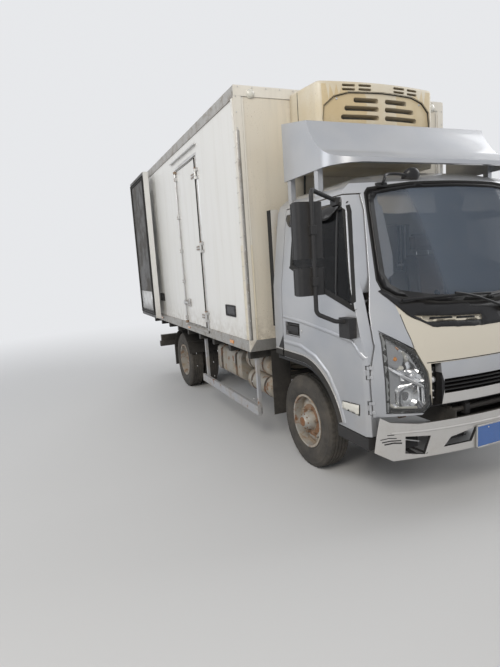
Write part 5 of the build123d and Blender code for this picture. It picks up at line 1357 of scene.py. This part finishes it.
print("fins", len(fins), "unit depth", round(fridge_high.x - fridge_low.x, 3))

# %% [markdown]
# ## The back of the box
# The rear doors stand folded right back along the side walls. Their inner sides are dark from
# years of loads, with a double rubber gasket round the edge. The open doorway shows the white
# lining, the ribbed alloy floor, and a rubber seal round the portal.

# %% Rear gaskets, portal seal, lamps and plate
def frame_loop(low, high, inset):
    """A rectangle between two corners, drawn in by inset."""
    return [(low[0] + inset, low[1] + inset), (high[0] - inset, low[1] + inset),
            (high[0] - inset, high[1] - inset), (low[0] + inset, high[1] - inset)]


lamp_x, lamp_y = -2900, 620
hinge_x, hinge_y = -2.9845, 1.178
for name, side in SIDES:
    out, body = (0, side, 0), f"box_rear_door_{name}"
    leaf = search_tree(f"rear_door_{name}")
    low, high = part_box(f"rear_door_{name}")
    low, high = (low.x + 0.175, low.z + 0.05), (high.x - 0.045, high.z - 0.05)
    for number, inset in enumerate((0.0, 0.032)):
        strip(f"rear_gasket_{name}_{number}", body, seal_rubber, leaf, out, frame_loop(low, high, inset),
              0.018, 0.014, closed=True, step=0.25)
    kick = frame_loop(low, (high[0], low[1] + 0.40), 0.06)
    laid(f"kick_sheet_{name}", body, stainless, leaf, out, kick, 0.002, 0.0004, step=0.15)
    turned(f"rear_hinge_caps_{name}", "chassis", hub_rust,
           [(0, 67), (10, 66), (12.6, 63), (12.6, 60.5), (9.2, 60)],
           [(hinge_x, side * hinge_y, z) for z in (1.180, 1.750, 2.330, 2.930)], UP, 20)
    middle = side * lamp_y
    blocks(f"rear_lamp_tray_{name}", "chassis", black_plastic,
           [(-12, 30, middle - 200, middle + 200, 725, 845)], 0.008, lamp_x / 1000)
    for number, (finish, start, end) in enumerate(((red_lens, 65, 185), (amber_lens, -55, 60),
                                                   (clear_lens, -185, -60))):
        blocks(f"rear_lamp_{name}_{number}", "chassis", finish,
               [(-34, -10, middle + side * start, middle + side * end, 737, 833)], 0.010, lamp_x / 1000)
    blocks(f"rear_lamp_bracket_{name}", "chassis", chassis_black,
           [(-2, 10, middle - 150, middle + 150, 840, 950), (20, 35, middle - 30, middle + 30, 700, 950)],
           0.004, lamp_x / 1000)
blocks("rear_plate_blank", "chassis", plate_yellow, [(-2936, -2930, -220, 220, 750, 890)], 0.004, 0)
blocks("rear_plate_holder", "chassis", chassis_black,
       [(-2930, -2922, -230, 230, 742, 898), (-2928, -2915, -150, -120, 880, 950),
        (-2928, -2915, 120, 150, 880, 950)], 0.003, 0)
rear_tree = search_tree("rear_frame")
strip("portal_seal", "chassis", seal_rubber, rear_tree, (-1, 0, 0),
      flat((-1075, 1030), (1075, 1030), (1075, 3105), (-1075, 3105)), 0.022, 0.010, closed=True, step=0.3)
blocks("reflectors_rear", "chassis", red_lens,
       [(-2958, -2950, y - 30, y + 30, 960, 990) for y in (-1000, 1000)], 0.003, 0)
for number, x in enumerate((-2400, -900, 600)):
    blocks(f"inner_lamp_{number}", "chassis", clear_lens, [(x - 150, x + 150, -60, 60, 3085, 3108)], 0.006, 0)
blocks("cargo_rails", "chassis", aluminium,
       [(100, (front_x - back_x) * 1000 - 150, side * 1032, side * 1046, 2250, 2290) for side in (-1, 1)],
       0.004, back_x)
print("rear doors and portal dressed")

# %% [markdown]
# ## Under the truck
# What hangs on the frame is strapped, clamped and bolted. Straps hold the tanks, bolts hold the
# rails, and hoses join the air tanks to the brakes. Each strap is a turned ring or a bent flat
# bar placed from the axles.

# %% Tank straps, caps and valves
air_tanks = ((-780, 520), (-790, 745))


def at_air_tanks(*along):
    """The air tanks' middle lines at places along the truck."""
    return [ahead(x, y, z) for x in along for y, z in air_tanks]


turned("air_tank_straps", "chassis", spring_steel,
       [(108.5, -18), (110.5, -18), (111.5, -12), (111.5, 12), (110.5, 18), (108.5, 18)],
       at_air_tanks(-740, -1060), FRONT, 56)
turned("air_tank_seams", "chassis", tank_steel, [(107.8, -4), (109.6, 0), (107.8, 4)],
       at_air_tanks(-655, -1145), FRONT, 56)
bolts("air_tank_valves", "chassis", aluminium, at_air_tanks(-620), FRONT, 0.018, 0.016)
strap_line = ((-370, 796), (-700, 796), (-845, 796), (-902, 745), (-906, 630), (-902, 515), (-845, 464),
              (-600, 464))
strap_half = 22
for number, x in enumerate((-1900, -1440)):
    def strap_spot(i, j):
        """A point of the strap's line, on its front edge or its back edge."""
        return ahead(x + strap_half - 2 * strap_half * j, *strap_line[i])

    grid_sheet(f"fuel_tank_strap_{number}", "chassis", spring_steel, (len(strap_line), 2), strap_spot, 0.003)
turned("fuel_cap", "chassis", black_plastic,
       [(0, 34), (30, 34), (38, 30), (41, 20), (41, 4), (30, 0), (30, -20)], route((-1460, -800, 786)),
       UP, 40)
turned("fuel_neck", "chassis", tank_steel, [(34, 4), (34, -20)], route((-1460, -800, 790)), UP, 40)
print("tanks strapped", len(air_tanks), "air tanks and one fuel tank")

# %% Hoses and frame bolts
hose_runs = [((-612, -780, 520), (-560, -760, 530), (-520, -660, 600), (-500, -500, 660), (-480, -370, 680)),
             ((-612, -790, 745), (-570, -770, 740), (-540, -660, 700), (-520, -500, 690), (-500, -370, 690)),
             ((-1400, -460, 800), (-1300, -420, 820), (-1200, -380, 800), (-1100, -370, 690))]
brake_runs = [((100, side * 330, 600), (60, side * 450, 520), (30, side * 520, 470)) for side in (-1, 1)]
for name, runs, radius in (("air_hoses", hose_runs, 0.009), ("brake_hoses", brake_runs, 0.008)):
    tubes(name, "chassis", seal_rubber, [route(*run) for run in runs], radius)
rail_bolts = [(back_x + 0.25 + 0.23 * k, side * 0.3555, z) for side in (-1, 1) for z in (0.58, 0.69)
              for k in range(17)]
guard_bolts = [ahead(x, -1012, z) for x in (-742, -1900, -2600) for z in (430, 600)]
bolts("rail_bolts", "chassis", spring_steel, rail_bolts, None, 0.010, 0.008)
bolts("guard_bolts", "chassis", aluminium, guard_bolts, RIGHT, 0.008, 0.006)
print("hoses", len(hose_runs) + len(brake_runs), "rail bolts", len(rail_bolts))

# %% [markdown]
# ## Seats that are really stuffed
# A truck seat is foam under a sewn cover: it bulges between its seams and rounds off at its
# edges. A bevelled block never looks like that. So one cushion, one back and one headrest are
# remeshed finely, swollen by Blender's cloth under pressure, and then sewn: channels are
# pressed in along the seams. Each seat place gets its own copy.

# %% Swell a block of foam
scene = bpy.context.scene
swell_frames = 20
scene.frame_start, scene.frame_end = 1, swell_frames


def foam_block(size, corner, voxel):
    """A block with rounded edges, remeshed to an even grid."""
    form = bmesh.new()
    bmesh.ops.create_cube(form, size=1)
    bmesh.ops.scale(form, vec=size, verts=form.verts)
    bmesh.ops.bevel(form, geom=form.edges[:], offset=corner, segments=4, affect="EDGES")
    mesh = bpy.data.meshes.new("foam")
    form.to_mesh(mesh)
    form.free()
    item = bpy.data.objects.new("foam", mesh)
    scene.collection.objects.link(item)
    remesh = item.modifiers.new("grid", "REMESH")
    remesh.mode = "VOXEL"
    remesh.voxel_size = voxel
    fine = bpy.data.meshes.new_from_object(item.evaluated_get(bpy.context.evaluated_depsgraph_get()))
    item.modifiers.clear()
    item.data = fine
    return item


def swell(item, pressure, cap):
    """Blows the block up under its cover, with no point moved further than the cap."""
    start = [vertex.co.copy() for vertex in item.data.vertices]
    cloth = item.modifiers.new("cloth", "CLOTH")
    cloth.settings.quality = 4
    cloth.settings.use_pressure = True
    cloth.settings.uniform_pressure_force = pressure
    cloth.settings.effector_weights.gravity = 0
    cloth.point_cache.frame_start, cloth.point_cache.frame_end = 1, swell_frames
    for moment in range(1, swell_frames + 1):
        scene.frame_set(moment)
    blown = item.evaluated_get(bpy.context.evaluated_depsgraph_get()).data
    moved = [vertex.co.copy() for vertex in blown.vertices]
    item.modifiers.clear()
    scene.frame_set(1)
    drift = sum(((there - here) for here, there in zip(start, moved)), Vector()) / len(start)
    shapes = []
    for here, there in zip(start, moved):
        step = there - here - drift
        shapes.append(here + (step.normalized() * cap if step.length > cap else step))
    faces = [tuple(face.vertices) for face in item.data.polygons]
    bpy.data.objects.remove(item)
    return shapes, faces


seat_pressure = 4
foam_sizes = {"cushion": ((0.455, 0.440, 0.105), 0.030, 0.012, 0.024),
              "back": ((0.095, 0.440, 0.520), 0.028, 0.012, 0.022),
              "headrest": ((0.075, 0.270, 0.165), 0.026, 0.009, 0.014)}
foam = {kind: swell(foam_block(block, corner, voxel), seat_pressure, cap)
        for kind, (block, corner, voxel, cap) in foam_sizes.items()}
print("foam points", {kind: len(shape[0]) for kind, shape in foam.items()})

# %% [markdown]
# ## Sewing the covers
# A seam pulls the cover down into the foam along a line. After the swelling, each point close
# to a seam is pressed in by a bell curve of its distance. The middle of a seat is woven cloth
# and its sides are smooth vinyl, so faces are sorted by how far they lie from the middle.

# %% Seat cloth, vinyl and the sewn seats
weave = Finish("seat_weave", rough=0.9, sheen=0.3)
threads = weave.maths("MULTIPLY", weave.wave(260, "Y"), weave.wave(260, "X"))
cloth_tone = weave.mix(weave.noise(12, 5), (0.13, 0.095, 0.075), (0.20, 0.155, 0.125))
weave.set("colour", weave.mix(threads, cloth_tone, (0.26, 0.21, 0.175)))
weave.bump(threads, 0.0012, 0.5)
vinyl = Finish("seat_vinyl", rough=0.55, edge=0.002)
vinyl.set("colour", vinyl.mix(vinyl.noise(20, 5), (0.055, 0.045, 0.040), (0.095, 0.080, 0.070)))
vinyl.bump(vinyl.noise(380, 3), 0.0006, 0.5)
seam_width, cloth_half = 0.009, 0.135
lean_back = math.radians(-9)
side_seams = [(1, -0.15, 0.012), (1, 0.15, 0.012)]
sewing = {
    "cushion": (195, 1165, math.radians(-4), side_seams + [(0, -0.08, 0.007), (0, 0.06, 0.007)]),
    "back": (-55, 1465, lean_back, side_seams + [(2, -0.10, 0.007), (2, 0.06, 0.007)]),
    "headrest": (-112, 1815, lean_back, [(1, -0.09, 0.004), (1, 0.09, 0.004)])}


def sewn(name, kind, width, middle_y):
    """One cover: the swollen shape set to its width, sewn, leaned back and put in place."""
    shapes, faces = foam[kind]
    x, z, lean, seams = sewing[kind]
    place = ahead(x, middle_y, z)
    turn = Matrix.Rotation(lean, 4, "Y")
    face_axis = 2 if kind == "cushion" else 0
    points = []
    for shape in shapes:
        spot = Vector((shape.x, shape.y * width, shape.z))
        press = max(depth * math.exp(-((spot[axis] - where) / seam_width) ** 2)
                    for axis, where, depth in seams)
        spot[face_axis] -= math.copysign(press, spot[face_axis])
        points.append(place + turn @ spot)
    item = make(name, "cab", weave.material, points, faces, 60)
    item.data.materials.append(vinyl.material)
    for face in item.data.polygons:
        face.material_index = 0 if abs(face.center.y - place.y) < cloth_half else 1
    rounding = item.modifiers.new("smooth", "SUBSURF")
    rounding.levels = rounding.render_levels = 1
    return item


seat_places = (("driver", 515, 1.06), ("middle", -85, 0.94), ("passenger", -553, 0.96))
for name, middle_y, width in seat_places:
    cushion = sewn(f"seat_cushion_{name}", "cushion", width, middle_y)
    if name == "driver":
        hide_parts("seats")
    sewn(f"seat_back_{name}", "back", width, middle_y)
    sewn(f"headrest_{name}", "headrest", 1.0, middle_y)
    posts = [route((-110, middle_y + dy, 1780), (-98, middle_y + dy, 1680)) for dy in (-70, 70)]
    tubes(f"headrest_posts_{name}", "cab", chrome, posts, 0.006, rounded=False)
    blocks(f"seat_base_{name}", "cab", dash_plastic, [(-20, 400, middle_y - 190, middle_y + 190, 987, 1105)],
           0.02)
print("seats sewn", len(seat_places))

# %% [markdown]
# ## The dashboard and what hangs in the cab
# Seen through the screen, a dashboard reads by its shadows: the hood over the dials, the round
# vents, the dark radio slot, the stalks behind the wheel. Sun visors hang from the roof, and a
# gear lever stands in a soft boot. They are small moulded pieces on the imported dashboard.

# %% Dials, vents and radio
dial_axis = (-0.85, 0, 0.5)
dial_place = ahead(700, 455, 1375)
turned("dial_hood", "cab", dash_plastic, [(95, -50), (118, -45), (125, 0), (118, 35), (105, 30), (105, -40)],
       [dial_place], dial_axis, 56)
for number, dy in enumerate((-0.048, 0.048)):
    spot = dial_place + Vector((0.008, dy, -0.004))
    turned(f"dial_face_{number}", "cab", clear_lens, [(0, 12), (40, 12), (44, 16), (47, 10)], [spot],
           dial_axis, 40)
    needle = spot + Vector((-0.014, 0, 0.008))
    tubes(f"dial_needle_{number}", "cab", red_lens, [[needle, needle + Vector((0.008, 0.012, 0.026))]],
          0.0012, rounded=False)
for number, y in enumerate((-700, -220, 120, 740)):
    turned(f"dash_vent_{number}", "cab", trim_black,
           [(30, -12), (46, -8), (52, 4), (47, 10), (40, 6), (36, -12)], [ahead(672, y, 1290)],
           (-0.75, 0, 0.6), 32)
    slats = [route((672, y - 34, 1290 + dz), (672, y + 34, 1290 + dz)) for dz in (-18, 0, 18)]
    tubes(f"vent_slats_{number}", "cab", dash_plastic, slats, 0.003, rounded=False)
blocks("radio_panel", "cab", trim_black,
       [(655, 690, -60, 140, 1150, 1235), (650, 660, -45, 125, 1192, 1222)], 0.005)
knobs = route((650, -35, 1168), (650, 20, 1168), (650, 70, 1168), (650, 115, 1168))
bolts("radio_knobs", "cab", dash_plastic, knobs, (-1, 0, 0), 0.011, 0.014, 20)
print("dials, vents and radio")

# %% Stalks, gear lever, pedals, visors and mirror
stalks = [route((610, 455, 1335), (600, 455 + side * 90, 1365), (590, 455 + side * 170, 1380))
          for side in (-1, 1)]
tubes("column_stalks", "cab", trim_black, stalks, 0.007)
turned("lever_boot", "cab", seal_rubber,
       [(75, 0), (68, 12), (70, 20), (56, 34), (58, 42), (40, 60), (42, 68), (18, 90), (10, 95)],
       [ahead(500, 165, 1026)], UP, 36)
tubes("gear_lever", "cab", trim_black, [route((500, 165, 1100), (480, 165, 1250), (440, 165, 1380))], 0.008)
turned("gear_knob", "cab", trim_black, [(0, 34), (12, 31), (21, 20), (23, 6), (18, -10), (10, -22)],
       [ahead(438, 165, 1385)], (-0.25, 0, 1), 32)
blocks("pedals", "cab", seal_rubber,
       [(790, 805, 325, 395, 870, 950), (790, 805, 435, 505, 870, 950),
        (790, 805, 235, 285, 840, 960)], 0.005)
tubes("pedal_arms", "cab", iron,
      [route((800, y, 940), (815, y, 1020), (800, y, 1100)) for y in (260, 360, 470)], 0.007)


def sun_visor_spot(i, j):
    """A padded board that hangs from the roof and leans back, with slight waves."""
    y0, y1 = sorted((side * 0.12, side * 0.62))
    fall = j / 6
    return (axle_x + 0.690 + 0.035 * fall + 0.006 * math.sin(i * 0.5), y0 + (y1 - y0) * i / 12,
            2.145 - 0.150 * fall + 0.004 * math.cos(i * 0.9))


for name, side in SIDES:
    visor = grid_sheet(f"sun_visor_{name}", "cab", roof_cloth, (13, 7), sun_visor_spot, 0.014, 70)
    rounding = visor.modifiers.new("rounding", "BEVEL")
    rounding.width, rounding.segments = 0.004, 3
blocks("inner_mirror", "cab", trim_black, [(728, 752, -120, 120, 2043, 2107)], 0.010)
tubes("inner_mirror_stem", "cab", trim_black, [route((740, 0, 2075), (750, 0, 2125), (740, 0, 2160))],
      0.006)
print("dashboard and visors in place")
